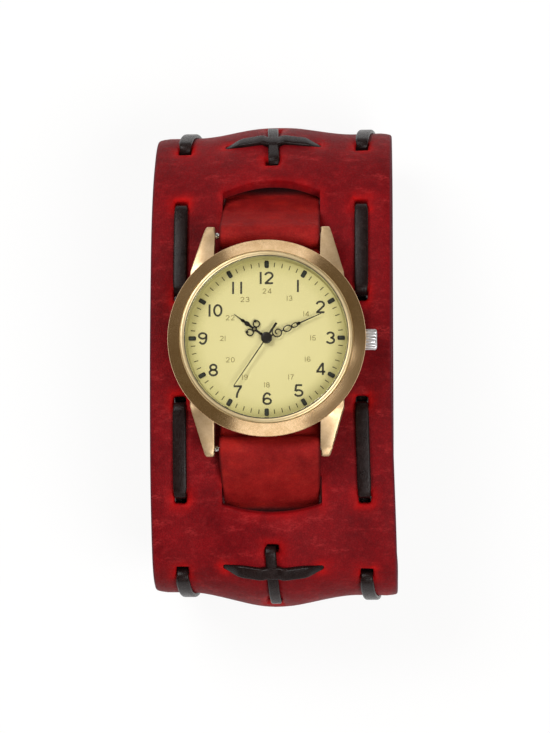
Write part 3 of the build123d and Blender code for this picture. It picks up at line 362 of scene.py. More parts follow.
@dataclass(frozen=True)
class Leather(Finish):
    """Waxed hide: mottled, scuffed, rubbed bright at its holes and dark along its cut edges; on the strap the edge
    mask also paints shadow in the slots.
    """

    deep: Colour
    middle: Colour
    bright: Colour
    rubbed: Colour
    edge: Colour
    flesh: Colour
    patch: float = 7.0
    cloud: float = 26.0
    speck: float = 1.6
    speckled: float = 0.16
    pores: float = 0.55
    depth: float = 0.06
    scuffed: float = 0.8
    gloss: float = 0.06
    rough: Point = (0.42, 0.58)
    sheen: float = 0.02
    sheen_tint: Colour = (190, 110, 150)

    def paint(self, w: Wiring, coords: bpy.types.NodeSocket, shader: bpy.types.Node) -> None:
        """Joins the hide's colours and grain to the shader."""
        patches = w.use(Effects.mottle(), Vector=coords, Size=self.patch, Contrast=2.8).outputs[0]
        clouds = w.use(Effects.mottle(), Vector=coords, Size=self.cloud, Contrast=3.2).outputs[0]
        mottle = w.math("MULTIPLY_ADD", clouds, 0.45, w.math("MULTIPLY", patches, 0.55))
        grain = w.use(Effects.grain(), Vector=coords, Size=self.pores)
        scuffs = w.use(Effects.scuffs(), Vector=coords, Size=self.patch, Amount=self.scuffed).outputs[0]
        marks = {name: w.node("ShaderNodeAttribute", attribute_name=name).outputs["Fac"]
                 for name in ("rub", "edge", "flesh")}
        colour = w.mix(mottle, linear(self.deep), linear(self.middle))
        # The grain's creases are mixed towards the deep colour: painted shade in the creases.
        colour = w.mix(w.between(grain.outputs["Crease"], 0.0, 1.0, 0.4, 0.0), colour, linear(self.deep))
        worn = w.use(Effects.mottle(), Vector=coords, Size=self.speck, Contrast=3.0).outputs[0]
        colour = w.mix(w.between(worn, 0.5, 1.0, 0.0, self.speckled), colour, linear(self.bright))
        colour = w.mix(scuffs, colour, linear(self.bright))
        broken = w.math("MULTIPLY", marks["rub"], w.between(patches, 0.0, 1.0, 0.4, 1.0), clamp=True)
        colour = w.mix(broken, colour, linear(self.rubbed))
        colour = w.mix(marks["flesh"], colour, w.mix(patches, linear(self.edge), linear(self.flesh)))
        # The edge mask darkens the cut edges; on the strap it also carries the painted shadow in the slots.
        colour = w.mix(marks["edge"], colour, linear(self.edge))
        w.set(shader.inputs["Base Color"], colour)
        w.set(shader.inputs["Roughness"], w.between(patches, 0.0, 1.0, *self.rough))
        shader.inputs["Sheen Weight"].default_value = self.sheen
        shader.inputs["Sheen Roughness"].default_value = 0.4
        shader.inputs["Sheen Tint"].default_value = linear(self.sheen_tint)
        shader.inputs["Specular IOR Level"].default_value = self.gloss
        height = w.math("MULTIPLY_ADD", scuffs, -0.5, grain.outputs["Height"])
        height = w.math("MULTIPLY_ADD", patches, 0.6, height)
        self.relief(w, shader, height, self.depth)


@dataclass(frozen=True)
class Metal(Finish):
    """Worked metal, with its fine lines and some tarnish."""

    bright: Colour
    dull: Colour
    rough: Point = (0.2, 0.32)
    brushing: Brushing = Brushing.NONE
    line: float = 0.12
    depth: float = 0.003
    centre: tuple[float, float, float] = (0.0, 0.0, 0.0)
    tarnish: float = 2.5

    def across(self, w: Wiring, coords: bpy.types.NodeSocket) -> bpy.types.NodeSocket:
        """The coordinate that the fine lines are stacked along."""
        back = tuple(-part * MM for part in self.centre)
        moved = w.node("ShaderNodeMapping", Vector=coords, Location=back).outputs[0]
        parts = w.node("ShaderNodeSeparateXYZ", Vector=moved)
        if self.brushing is Brushing.ROUND:
            square = w.math("MULTIPLY", parts.outputs["Y"], parts.outputs["Y"])
            both = w.math("MULTIPLY_ADD", parts.outputs["X"], parts.outputs["X"], square)
            return w.math("SQRT", both)
        return parts.outputs["X" if self.brushing is Brushing.ALONG else "Y"]

    def paint(self, w: Wiring, coords: bpy.types.NodeSocket, shader: bpy.types.Node) -> None:
        """Joins the metal's colour, lines and tarnish to the shader."""
        cloud = w.use(Effects.mottle(), Vector=coords, Size=self.tarnish, Contrast=1.8).outputs[0]
        scuffs = w.use(Effects.scuffs(), Vector=coords, Size=self.tarnish, Amount=0.5).outputs[0]
        colour = w.mix(w.between(cloud, 0.25, 1.0), linear(self.bright), linear(self.dull))
        height = w.math("MULTIPLY_ADD", scuffs, -0.15, w.math("MULTIPLY", cloud, 0.5))
        if self.brushing is not Brushing.NONE:
            lines = w.use(Effects.brushed(), Across=self.across(w, coords), Size=self.line).outputs[0]
            height = w.math("MULTIPLY_ADD", height, 0.2, lines)
            cloud = w.math("MULTIPLY_ADD", lines, 0.6, w.math("MULTIPLY", cloud, 0.4))
        w.set(shader.inputs["Base Color"], colour)
        w.set(shader.inputs["Roughness"], w.between(cloud, 0.2, 0.8, *self.rough))
        shader.inputs["Metallic"].default_value = 1.0
        self.relief(w, shader, height, self.depth)


@dataclass(frozen=True)
class Moulded(Finish):
    """Plastic, rubber, lacquer or print, with a fine speckle."""

    main: Colour
    shade: Colour
    rough: Point = (0.4, 0.55)
    speckle: float = 0.4
    depth: float = 0.008
    shine: float = 0.5

    def paint(self, w: Wiring, coords: bpy.types.NodeSocket, shader: bpy.types.Node) -> None:
        """Joins the colour and the speckle to the shader."""
        cloud = w.use(Effects.mottle(), Vector=coords, Size=self.speckle, Contrast=1.5).outputs[0]
        w.set(shader.inputs["Base Color"], w.mix(cloud, linear(self.main), linear(self.shade)))
        w.set(shader.inputs["Roughness"], w.between(cloud, 0.0, 1.0, *self.rough))
        shader.inputs["Specular IOR Level"].default_value = self.shine
        self.relief(w, shader, cloud, self.depth)


@dataclass(frozen=True)
class DialPaint(Finish):
    """Matt cream paint that darkens towards the dial's edge, as painted shade under the bezel's lip."""

    centre: tuple[float, float, float]
    radius: float
    heart: Colour
    middle: Colour
    rim: Colour

    def paint(self, w: Wiring, coords: bpy.types.NodeSocket, shader: bpy.types.Node) -> None:
        """Joins the rings of colour, the outer one painted shade, and the paint's grain to the shader."""
        back = tuple(-part * MM for part in self.centre)
        moved = w.node("ShaderNodeMapping", Vector=coords, Location=back).outputs[0]
        reach = w.node("ShaderNodeVectorMath", operation="LENGTH", Vector=moved).outputs["Value"]
        share = w.math("DIVIDE", reach, self.radius * MM)
        grain = w.use(Effects.mottle(), Vector=coords, Size=0.25, Contrast=1.2).outputs[0]
        colour = w.mix(w.between(share, 0.15, 0.75), linear(self.heart), linear(self.middle))
        # Towards the rim the cream turns to the rim colour: painted shade of the lip over the dial's edge.
        colour = w.mix(w.between(share, 0.7, 1.0), colour, linear(self.rim))
        colour = w.mix(w.between(grain, 0.0, 1.0, 0.06, 0.0), colour, linear(self.rim))
        w.set(shader.inputs["Base Color"], colour)
        w.set(shader.inputs["Roughness"], w.between(grain, 0.0, 1.0, 0.5, 0.62))
        self.relief(w, shader, grain, 0.004)


@dataclass(frozen=True)
class Winding(Finish):
    """Enamelled copper wire wound in close turns along X, with painted shade between the turns."""

    bright: Colour
    dark: Colour
    pitch: float = 0.06

    def paint(self, w: Wiring, coords: bpy.types.NodeSocket, shader: bpy.types.Node) -> None:
        """Joins the turns of wire to the shader."""
        across = w.node("ShaderNodeSeparateXYZ", Vector=coords).outputs["X"]
        turns = w.math("SINE", w.math("MULTIPLY", across, 2 * math.pi / (self.pitch * MM)))
        lift = w.between(turns, -1.0, 1.0)
        cloud = w.use(Effects.mottle(), Vector=coords, Size=0.8, Contrast=1.4).outputs[0]
        # Lighter crests and darker valleys along the turns: painted shade of the round wire.
        colour = w.mix(lift, linear(self.dark), linear(self.bright))
        w.set(shader.inputs["Base Color"], w.mix(w.between(cloud, 0.0, 1.0, 0.3, 0.0), colour,
                                                 linear(self.dark)))
        w.set(shader.inputs["Roughness"], w.between(cloud, 0.0, 1.0, 0.25, 0.4))
        shader.inputs["Metallic"].default_value = 0.8
        self.relief(w, shader, lift, self.pitch / 3)


@dataclass(frozen=True)
class Crystal(Finish):
    """Clear mineral glass that lets the light through to the dial."""

    smear: float = 0.002

    def paint(self, w: Wiring, coords: bpy.types.NodeSocket, shader: bpy.types.Node) -> None:
        """Makes the shader clear, and lets shadow rays pass."""
        cloud = w.use(Effects.mottle(), Vector=coords, Size=6.0, Contrast=1.5).outputs[0]
        w.set(shader.inputs["Roughness"], w.between(cloud, 0.0, 1.0, 0.0, self.smear))
        shader.inputs["Transmission Weight"].default_value = 1.0
        shader.inputs["IOR"].default_value = 1.5
        path = w.node("ShaderNodeLightPath")
        passing = w.math("MAXIMUM", path.outputs["Is Shadow Ray"], path.outputs["Is Diffuse Ray"])
        clear = w.node("ShaderNodeBsdfTransparent", Color=(1, 1, 1, 1))
        both = w.node("ShaderNodeMixShader")
        for socket, value in zip(both.inputs, (passing, shader.outputs[0], clear.outputs[0])):
            w.set(socket, value)
        w.set(w.tree.nodes["Material Output"].inputs["Surface"], both.outputs[0])


CUFF_RED = Leather("cuff_red_leather", deep=(78, 7, 13), middle=(143, 17, 24), bright=(186, 52, 54),
                   rubbed=(188, 14, 14), edge=(84, 34, 46), flesh=(126, 52, 46))
# The strap's near-black edge colour is the cut edges' dye and also the painted shadow in the slots.
STRAP_RED = Leather("strap_red_leather", deep=(112, 14, 16), middle=(172, 36, 34), bright=(188, 62, 50),
                    rubbed=(180, 34, 24), edge=(40, 7, 9), flesh=(126, 52, 46), patch=5.0, scuffed=0.35)
LACE_BROWN = Leather("lace_brown_leather", deep=(14, 7, 7), middle=(37, 21, 21), bright=(84, 66, 64),
                     rubbed=(60, 44, 40), edge=(24, 14, 13), flesh=(46, 32, 28), patch=2.2, cloud=8.0,
                     pores=0.3, depth=0.02, scuffed=0.3, gloss=0.17, rough=(0.2, 0.32), speckled=0.1, sheen=0.02,
                     sheen_tint=(150, 140, 145))
BLACK_LACQUER = Moulded("black_lacquer", main=(10, 8, 6), shade=(20, 16, 12), rough=(0.4, 0.5), shine=0.2,
                        speckle=0.5, depth=0.002)
SECONDS_LACQUER = Moulded("brown_lacquer", main=(60, 44, 24), shade=(42, 30, 16), rough=(0.25, 0.4),
                          speckle=0.5, depth=0.002)
NUMERAL_INK = Moulded("numeral_ink", main=(30, 26, 5), shade=(46, 41, 12), rough=(0.5, 0.6), speckle=0.3,
                      depth=0.002)
SMALL_INK = Moulded("small_numeral_ink", main=(150, 138, 78), shade=(134, 120, 62), rough=(0.5, 0.6),
                    speckle=0.2, depth=0.002)
TICK_INK = Moulded("tick_ink", main=(92, 84, 30), shade=(74, 66, 24), rough=(0.5, 0.6), speckle=0.3,
                   depth=0.002)
BLOCK_BLACK = Moulded("block_black", main=(14, 12, 8), shade=(26, 24, 14), rough=(0.25, 0.4), speckle=0.4,
                      depth=0.003)
BLOCK_GREEN = Moulded("block_green", main=(22, 40, 22), shade=(14, 26, 14), rough=(0.4, 0.5), speckle=0.2,
                      depth=0.003)
RUBBER = Moulded("black_gasket", main=(22, 22, 23), shade=(34, 34, 35), rough=(0.6, 0.75))
NYLON = Moulded("cream_nylon", main=(224, 221, 208), shade=(205, 200, 184), rough=(0.35, 0.5))
BOARD = Moulded("green_board", main=(28, 84, 52), shade=(18, 62, 40), rough=(0.3, 0.45), speckle=1.2)
RING_PAINT = Moulded("ring_cream", main=(196, 188, 128), shade=(172, 164, 104), rough=(0.45, 0.6))
COPPER_WIRE = Winding("copper_winding", bright=(206, 112, 60), dark=(110, 48, 24))
BRASS = Metal("turned_brass", bright=(222, 184, 98), dull=(176, 138, 66), rough=(0.22, 0.36), depth=0.002)
PLATE_BRASS = Metal("plate_brass", bright=(214, 182, 112), dull=(172, 140, 78), rough=(0.3, 0.45),
                    brushing=Brushing.ALONG, line=0.3, depth=0.003)
BRIDGE_NICKEL = Metal("bridge_nickel", bright=(208, 206, 198), dull=(168, 166, 158), rough=(0.28, 0.42),
                      brushing=Brushing.ACROSS, line=0.3, depth=0.003)
IRON = Metal("grey_iron", bright=(150, 150, 152), dull=(104, 104, 108), rough=(0.35, 0.5), depth=0.004)
MAGNET = Metal("magnet_iron", bright=(96, 94, 96), dull=(64, 62, 66), rough=(0.35, 0.5), depth=0.004)
STEEL = Metal("polished_steel", bright=(214, 214, 212), dull=(176, 176, 178), rough=(0.14, 0.28), depth=0.002)
CELL = Metal("nickelled_cell", bright=(206, 206, 204), dull=(170, 170, 170), rough=(0.24, 0.36),
             brushing=Brushing.ALONG, line=0.15, depth=0.002)
SNAP = Metal("snap_brass", bright=(184, 156, 104), dull=(98, 78, 48), rough=(0.28, 0.46), depth=0.01,
             tarnish=3.0)
CHROME = Metal("crown_chrome", bright=(220, 220, 222), dull=(196, 196, 200), rough=(0.3, 0.38),
               depth=0.002, tarnish=1.5)


class Shape:
    """A mesh in the making, in millimetres."""

    def __init__(self, name: str) -> None:
        """Starts an empty mesh for the piece of that name."""
        self.name = name
        self.mesh = bmesh.new()

    def clean(self, gap: float = 0.002) -> "Shape":
        """Merges doubled points and turns every face outwards."""
        bmesh.ops.remove_doubles(self.mesh, verts=self.mesh.verts, dist=gap)
        bmesh.ops.recalc_face_normals(self.mesh, faces=self.mesh.faces)
        return self

    def add(self, other: "Shape") -> "Shape":
        """Takes in a copy of another shape."""
        passing = bpy.data.meshes.new("passing")
        other.mesh.to_mesh(passing)
        self.mesh.from_mesh(passing)
        bpy.data.meshes.remove(passing)
        return self

    def move(self, x: float = 0.0, y: float = 0.0, z: float = 0.0) -> "Shape":
        """Moves the whole mesh."""
        bmesh.ops.translate(self.mesh, verts=self.mesh.verts, vec=(x, y, z))
        return self

    def turn(self, angle: float, axis: str = "Z") -> "Shape":
        """Turns the whole mesh about an axis through the origin, in radians."""
        bmesh.ops.rotate(self.mesh, verts=self.mesh.verts, cent=(0, 0, 0),
                         matrix=Matrix.Rotation(angle, 3, axis))
        return self

    def stretch(self, x: float = 1.0, y: float = 1.0, z: float = 1.0) -> "Shape":
        """Scales the whole mesh about the origin."""
        bmesh.ops.scale(self.mesh, verts=self.mesh.verts, vec=(x, y, z))
        return self

    def round_edges(self, width: float, segments: int = 2, angle: float = SHARP_ANGLE,
                    keep: Callable[[bmesh.types.BMEdge], bool] | None = None) -> "Shape":
        """Rounds the sharp edges.

        Args:
            width: How far the rounding reaches from the edge.
            segments: Faces across the rounding.
            angle: Edges that turn by less stay as they are.
            keep: Says which sharp edges stay sharp.

        Returns:
            The shape itself.
        """
        edges = [edge for edge in self.mesh.edges if edge.calc_face_angle(0.0) > angle
                 and not (keep and keep(edge))]
        bmesh.ops.bevel(self.mesh, geom=edges, offset=width, segments=segments, profile=0.5,
                        affect="EDGES", material=-1, clamp_overlap=False)
        return self

    def finish(self, finish: Finish, body: str, replaces: Sequence[str] = (), slot: str = "",
               sharp: float = SHARP_ANGLE) -> bpy.types.Object:
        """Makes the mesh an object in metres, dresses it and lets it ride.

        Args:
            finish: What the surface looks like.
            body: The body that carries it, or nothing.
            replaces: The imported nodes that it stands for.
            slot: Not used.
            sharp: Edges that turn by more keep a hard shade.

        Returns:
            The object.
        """
        if self.mesh.calc_volume(signed=True) < 0:
            bmesh.ops.reverse_faces(self.mesh, faces=self.mesh.faces)
        for face in self.mesh.faces:
            face.smooth = True
        for edge in self.mesh.edges:
            edge.smooth = edge.calc_face_angle(0.0) < sharp
        bmesh.ops.scale(self.mesh, verts=self.mesh.verts, vec=(MM, MM, MM))
        data = bpy.data.meshes.new(self.name)
        self.mesh.to_mesh(data)
        self.mesh.free()
        made = bpy.data.objects.new(self.name, data)
        bpy.context.scene.collection.objects.link(made)
        data.materials.append(finish.material())
        if body:
            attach(made, body)
        if replaces:
            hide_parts(*replaces)
        log.info("%s: %d faces", self.name, len(data.polygons))
        return made


def plate(outline: Sequence[Point], thickness: float, bevel: float = 0.0) -> Shape:
    """A flat plate.

    Args:
        outline: Its corners, in order.
        thickness: Its thickness, up from z = 0.
        bevel: How far the top edge is broken.

    Returns:
        The plate.
    """
    made = Shape("plate")
    corners = [made.mesh.verts.new((x, y, 0)) for x, y in outline]
    face = made.mesh.faces.new(corners)
    raised = bmesh.ops.extrude_face_region(made.mesh, geom=[face])["geom"]
    top = [part for part in raised if isinstance(part, bmesh.types.BMVert)]
    bmesh.ops.translate(made.mesh, verts=top, vec=(0, 0, thickness))
    bmesh.ops.recalc_face_normals(made.mesh, faces=made.mesh.faces)
    if bevel:
        rim = {edge for part in top for edge in part.link_edges if edge.other_vert(part) in top}
        bmesh.ops.bevel(made.mesh, geom=list(rim), offset=bevel, segments=2, profile=0.5, affect="EDGES",
                        material=-1, clamp_overlap=True)
    return made


def lathe(profile: Sequence[Point], steps: int = 96) -> Shape:
    """A turned shape about the Z axis.

    Args:
        profile: Radii and heights. It is closed from its last point to its first, unless both lie on
            the axis.
        steps: Faces round the shape.

    Returns:
        The shape.
    """
    made = Shape("turned")
    points = [made.mesh.verts.new((radius, 0, height)) for radius, height in profile]
    edges = [made.mesh.edges.new(pair) for pair in zip(points, points[1:])]
    if profile[0][0] or profile[-1][0]:
        edges.append(made.mesh.edges.new((points[-1], points[0])))
    bmesh.ops.spin(made.mesh, geom=points + edges, cent=(0, 0, 0), axis=(0, 0, 1), angle=2 * math.pi,
                   steps=steps, use_merge=True)
    return made.clean()


def ribbon(points: Sequence[Vector], sides: Sequence[Vector], width: Callable[[float], float],
           thickness: float, rounding: float, name: str) -> Shape:
    """A flat thong along a path.

    Args:
        points: The middle of the thong, evenly spaced.
        sides: The direction of its width at each point.
        width: The width at a share of its length.
        thickness: Its thickness.
        rounding: The radius of its long edges.
        name: The piece's name.

    Returns:
        The thong.
    """
    made = Shape(name)
    steps = len(points) - 1
    bmesh.ops.create_cube(made.mesh, size=1.0)
    made.stretch(width(0.5), 1.0, thickness)
    long_edges = [edge for edge in made.mesh.edges
                  if abs((edge.verts[0].co - edge.verts[1].co).y) > 0.5]
    if rounding:
        bmesh.ops.bevel(made.mesh, geom=long_edges, offset=rounding, segments=3, profile=0.5,
                        affect="EDGES", material=-1)
    long_edges = [edge for edge in made.mesh.edges
                  if abs((edge.verts[0].co - edge.verts[1].co).y) > 0.5]
    bmesh.ops.subdivide_edges(made.mesh, edges=long_edges, cuts=steps - 1, use_grid_fill=True)
    tangents = [(points[min(step + 1, steps)] - points[max(step - 1, 0)]).normalized()
                for step in range(steps + 1)]
    for vert in made.mesh.verts:
        step = round((vert.co.y + 0.5) * steps)
        side = sides[step]
        up = side.cross(tangents[step]).normalized()
        across = tangents[step].cross(up)
        share = width(step / steps) / width(0.5)
        vert.co = points[step] + across * vert.co.x * share + up * vert.co.z
    bmesh.ops.recalc_face_normals(made.mesh, faces=made.mesh.faces)
    return made


@dataclass(frozen=True)
class Bend:
    """One arc of the cuff's side view: its radius, and the turn from the crest where it ends."""

    radius: float
    turn: float


@dataclass
class Cuff:
    """The wide leather cuff: its curve, its holes and how the leather swells and dips."""

    width: float = 50.6
    leather: float = 3.0
    flap_gap: float = 1.0
    fold_gap: float = 0.1
    upper_bends: tuple[Bend, ...] = (Bend(140.0, 9), Bend(36.0, 52), Bend(20.0, 90), Bend(15.0, 180))
    lower_bends: tuple[Bend, ...] = (Bend(150.0, 12), Bend(45.0, 28), Bend(14.0, 90))
    outer_flap: float = 58.0
    inner_flap: float = 30.5
    flap_corner: float = 6.0
    slot_half: float = 10.3
    slot_near: float = 26.9
    slot_far: Point = (36.3, 34.3)
    slot_arch: Point = (2.2, 1.6)
    stitch_x: float = 19.0
    stitch_slant: float = 1.5
    stitch_holes: tuple[float, ...] = (11.8, 31.0, 49.2, 68.0)
    hole_half: float = 1.3
    hole_reach: float = 1.0
    hole_spare: float = 0.5
    slit_shift: float = 0.8
    slit_reach: float = 0.4
    cross_holes: Point = (41.8, 56.2)
    cross_middle: Point = (48.1, 46.5)
    cross_bow: Point = (0.4, 0.1)
    cross_reach: float = 10.6
    cross_slit: float = 0.5
    crown_height: Point = (1.85, 2.75)
    crown_half: float = 17.5
    swell_rise: Point = (27.5, 36.5)
    swell_fall: Point = (60.0, 67.5)
    dip_depth: float = 0.3
    dip_reach: float = 1.8
    groove_depth: float = 0.85
    groove_half: float = 1.9
    edge_roll: float = 0.35
    fullness: Point = (0.85, -0.15)
    flare_share: float = 0.018
    widening: float = 0.9
    wave: float = 0.16
    rim: float = 0.55
    step: float = 1.15
    snap_x: float = 14.0
    snap_y: float = -11.65
    snap_hole: float = 2.0
    snap_fine: float = 0.55
    cap_seat: Point = (6.3, 0.95)
    socket_seat: Point = (4.8, 0.6)
    seat_wall: float = 0.7

    def __post_init__(self) -> None:
        """Works out the arcs, from the crest outwards, and finds where the cuff lies."""
        rise = self.leather + self.flap_gap
        self.crest = self.drop(self.upper_bends)
        heel = self.crest - rise - self.drop(self.lower_bends)
        self.upper, self.upper_length, self.upper_out = self.chain(self.upper_bends)
        self.lower, self.lower_length, self.lower_out = self.chain((*self.lower_bends, Bend(heel, 180)))
        self.middle_y = node_box("cuff_flap_outer")[1].y + self.fold_gap - self.upper_out
        self.outer_hinge = self.middle_y + self.upper_out
        self.inner_hinge = self.middle_y - self.lower_out

    @staticmethod
    def drop(bends: Sequence[Bend]) -> float:
        """How far a run of arcs comes down from the crest."""
        down, turn = 0.0, 0.0
        for bend in bends:
            down += bend.radius * (math.cos(math.radians(turn)) - math.cos(math.radians(bend.turn)))
            turn = bend.turn
        return down

    def chain(self, bends: Sequence[Bend]) -> tuple[list[tuple[float, ...]], float, float]:
        """Joins arcs from the crest outwards.

        Args:
            bends: The arcs.

        Returns:
            The start length, start turn, radius and centre of each arc, the whole length, and how far
            out it ends.
        """
        arcs, length, turn, out, up = [], 0.0, 0.0, 0.0, self.crest
        for bend in bends:
            start, end = math.radians(turn), math.radians(bend.turn)
            out -= bend.radius * math.sin(start)
            up -= bend.radius * math.cos(start)
            arcs.append((length, start, bend.radius, out, up))
            out += bend.radius * math.sin(end)
            up += bend.radius * math.cos(end)
            length += bend.radius * (end - start)
            turn = bend.turn
        return arcs, length, out

    def spot(self, length: float, height: float = 0.0) -> tuple[float, float, float]:
        """The y and z of a place beside the leather, and the turn there in radians."""
        side = 1 if length >= 0 else -1
        arcs, whole, hinge = ((self.upper, self.upper_length, self.upper_out) if side > 0
                              else (self.lower, self.lower_length, self.lower_out))
        beyond = abs(length) - whole
        if beyond > 0:
            base = 0.0 if side > 0 else self.leather + self.flap_gap
            return self.middle_y + side * (hinge - beyond), base - height, math.pi
        start, turn, radius, out, up = [arc for arc in arcs if arc[0] <= abs(length)][-1]
        angle = turn + (abs(length) - start) / radius
        reach = radius + height
        return self.middle_y + side * (out + reach * math.sin(angle)), up + reach * math.cos(angle), angle

    def place(self, x: float, length: float, height: float = 0.0) -> Vector:
        """A point beside the leather."""
        y, z, _ = self.spot(length, height)
        low = smooth(-length, 5, 50) * (1 - smooth(-length, self.lower_length - 16, self.lower_length))
        return Vector((x + self.widening * low * smooth(x, -12, self.width / 2), y, z))

    def along(self, length: float) -> Vector:
        """The direction of rising length at a place on the leather."""
        side = 1 if length >= 0 else -1
        angle = self.spot(length)[2]
        return Vector((0, math.cos(angle), -side * math.sin(angle)))

    def crown(self, x: float, length: float) -> float:
        """The height of the swelling across the cuff."""
        share = min(1.0, abs(x) / self.crown_half)
        return self.crown_height[0 if length > 0 else 1] * math.cos(math.pi / 2 * share) ** 2

    def cross_line(self, side: Side, x: float) -> float:
        """The length where the thong across one end of the strap lies."""
        upper = side is Side.UPPER
        bow = self.cross_bow[0 if upper else 1] * (x / self.cross_reach) ** 2
        return side.value * (self.cross_middle[0 if upper else 1] + (bow if upper else -bow))

    def snap_gap(self, x: float, y: float) -> float:
        """How far a place on an end is from the axis of the nearer press snap."""
        return math.hypot(abs(x) - self.snap_x, y - self.snap_y)

    def snap_lines(self, length: float, hinge: float) -> list[float]:
        """The fine lines over one end, round its snaps, as lengths."""
        way = 1 if length > 0 else -1
        middle = length + way * abs(hinge - self.snap_y)
        reach = self.cap_seat[0] + self.seat_wall
        count = round(2 * reach / self.snap_fine)
        return [middle - reach + 2 * reach * step / count for step in range(count + 1)]

    def pressed(self, x: float, length: float, height: float) -> float:
        """The height of a point of an end, once the snaps' seats are pressed into the leather."""
        whole = self.upper_length if length > 0 else self.lower_length
        if abs(length) < whole:
            return height
        gap = self.snap_gap(x, self.spot(length)[0])
        deep = 1 + height / self.leather
        outer, inner = ((self.cap_seat, self.socket_seat) if length > 0 else (self.socket_seat, (0.0, 0.0)))
        height -= outer[1] * deep * (1 - smooth(gap, outer[0], outer[0] + self.seat_wall))
        return height + inner[1] * (1 - deep) * (1 - smooth(gap, inner[0], inner[0] + self.seat_wall))

    def swell(self, length: float) -> float:
        """The share of the swelling at a length, over the laced end of the strap."""
        return smooth(abs(length), *self.swell_rise) * (1 - smooth(abs(length), *self.swell_fall))

    def holes(self) -> list[tuple[float, float, float, float]]:
        """The lace holes: lowest and highest x, then lowest and highest length."""
        found = []
        for side in Side:
            for number, hole in enumerate(self.stitch_holes):
                way = 1 if number % 2 else -1
                away = way * (0.25 * self.hole_reach + self.hole_spare / 2)
                half = self.hole_reach + self.hole_spare / 2
                ends = sorted((side.value * (hole + away - half), side.value * (hole + away + half)))
                slant = self.stitch_slant if hole == self.stitch_holes[-1] else 0.0
                for x in (slant - self.stitch_x, slant + self.stitch_x):
                    found.append((x - self.hole_half, x + self.hole_half, *ends))
            for hole in self.cross_holes:
                ends = sorted(side.value * (hole + way * self.hole_reach) for way in (-1, 1))
                found.append((-self.hole_half, self.hole_half, *ends))
            for x in (-self.cross_reach, self.cross_reach):
                ends = [self.cross_line(side, x) + way * self.slit_reach for way in (-1, 1)]
                middle = x - math.copysign(self.slit_shift, x)
                found.append((middle - self.cross_slit, middle + self.cross_slit, *ends))
        return found

    def slots(self) -> list[tuple[float, float, float, float]]:
        """The strap's slots, given as the lace holes are."""
        return [(-self.slot_half, self.slot_half, *sorted((side.value * self.slot_near,
                                                           side.value * self.far_end(side))))
                for side in Side]

    def snap_holes(self) -> list[tuple[float, float, float, float]]:
        """The holes for the snaps' posts, given as the lace holes are."""
        found = []
        for whole, hinge, way in ((self.upper_length, self.outer_hinge, 1),
                                  (self.lower_length, self.inner_hinge, -1)):
            middle = way * (whole + abs(hinge - self.snap_y))
            for x in (-self.snap_x, self.snap_x):
                found.append((x - self.snap_hole, x + self.snap_hole, middle - self.snap_hole,
                              middle + self.snap_hole))
        return found

    def far_end(self, side: Side) -> float:
        """How far from the crest a slot ends."""
        return self.slot_far[0 if side is Side.UPPER else 1]

    @staticmethod
    def gap(x: float, length: float, hole: tuple[float, float, float, float]) -> float:
        """How far a place is from the rim of a hole, or 0 inside it."""
        left, right, low, high = hole
        return math.hypot(max(left - x, 0, x - right), max(low - length, 0, length - high))

    def spare(self, x: float, length: float) -> float:
        """How far the cuff is opened out beyond its plain curve, most on the crown's side."""
        whole, full = ((self.upper_length, self.fullness[0]) if length >= 0
                       else (self.lower_length, self.fullness[1]))
        fade = smooth(abs(length), 22, 42) * (1 - smooth(abs(length), whole - 16, whole))
        return fade * (full + self.flare_share * x)

    def lift(self, x: float, length: float) -> float:
        """How far the leather stands out from its plain curve."""
        out = self.crown(x, length) * self.swell(length) + self.spare(x, length)
        under_lace = smooth(abs(length), 39, 43) * (1 - smooth(abs(length), 55, 59))
        out -= self.groove_depth * under_lace * math.exp(-(x / self.groove_half) ** 4)
        nearest = min(self.gap(x, length, hole) for hole in self.holes())
        out -= self.dip_depth * math.exp(-(nearest / self.dip_reach) ** 2)
        out -= self.edge_roll * smooth(abs(x), self.width / 2 - 2.2, self.width / 2)
        fade = 1 - smooth(length, self.upper_length - 12, self.upper_length)
        fade *= smooth(length, -self.lower_length, 12 - self.lower_length)
        return out + fade * self.wave * noise.noise(Vector((x / 8, length / 8, 0)))


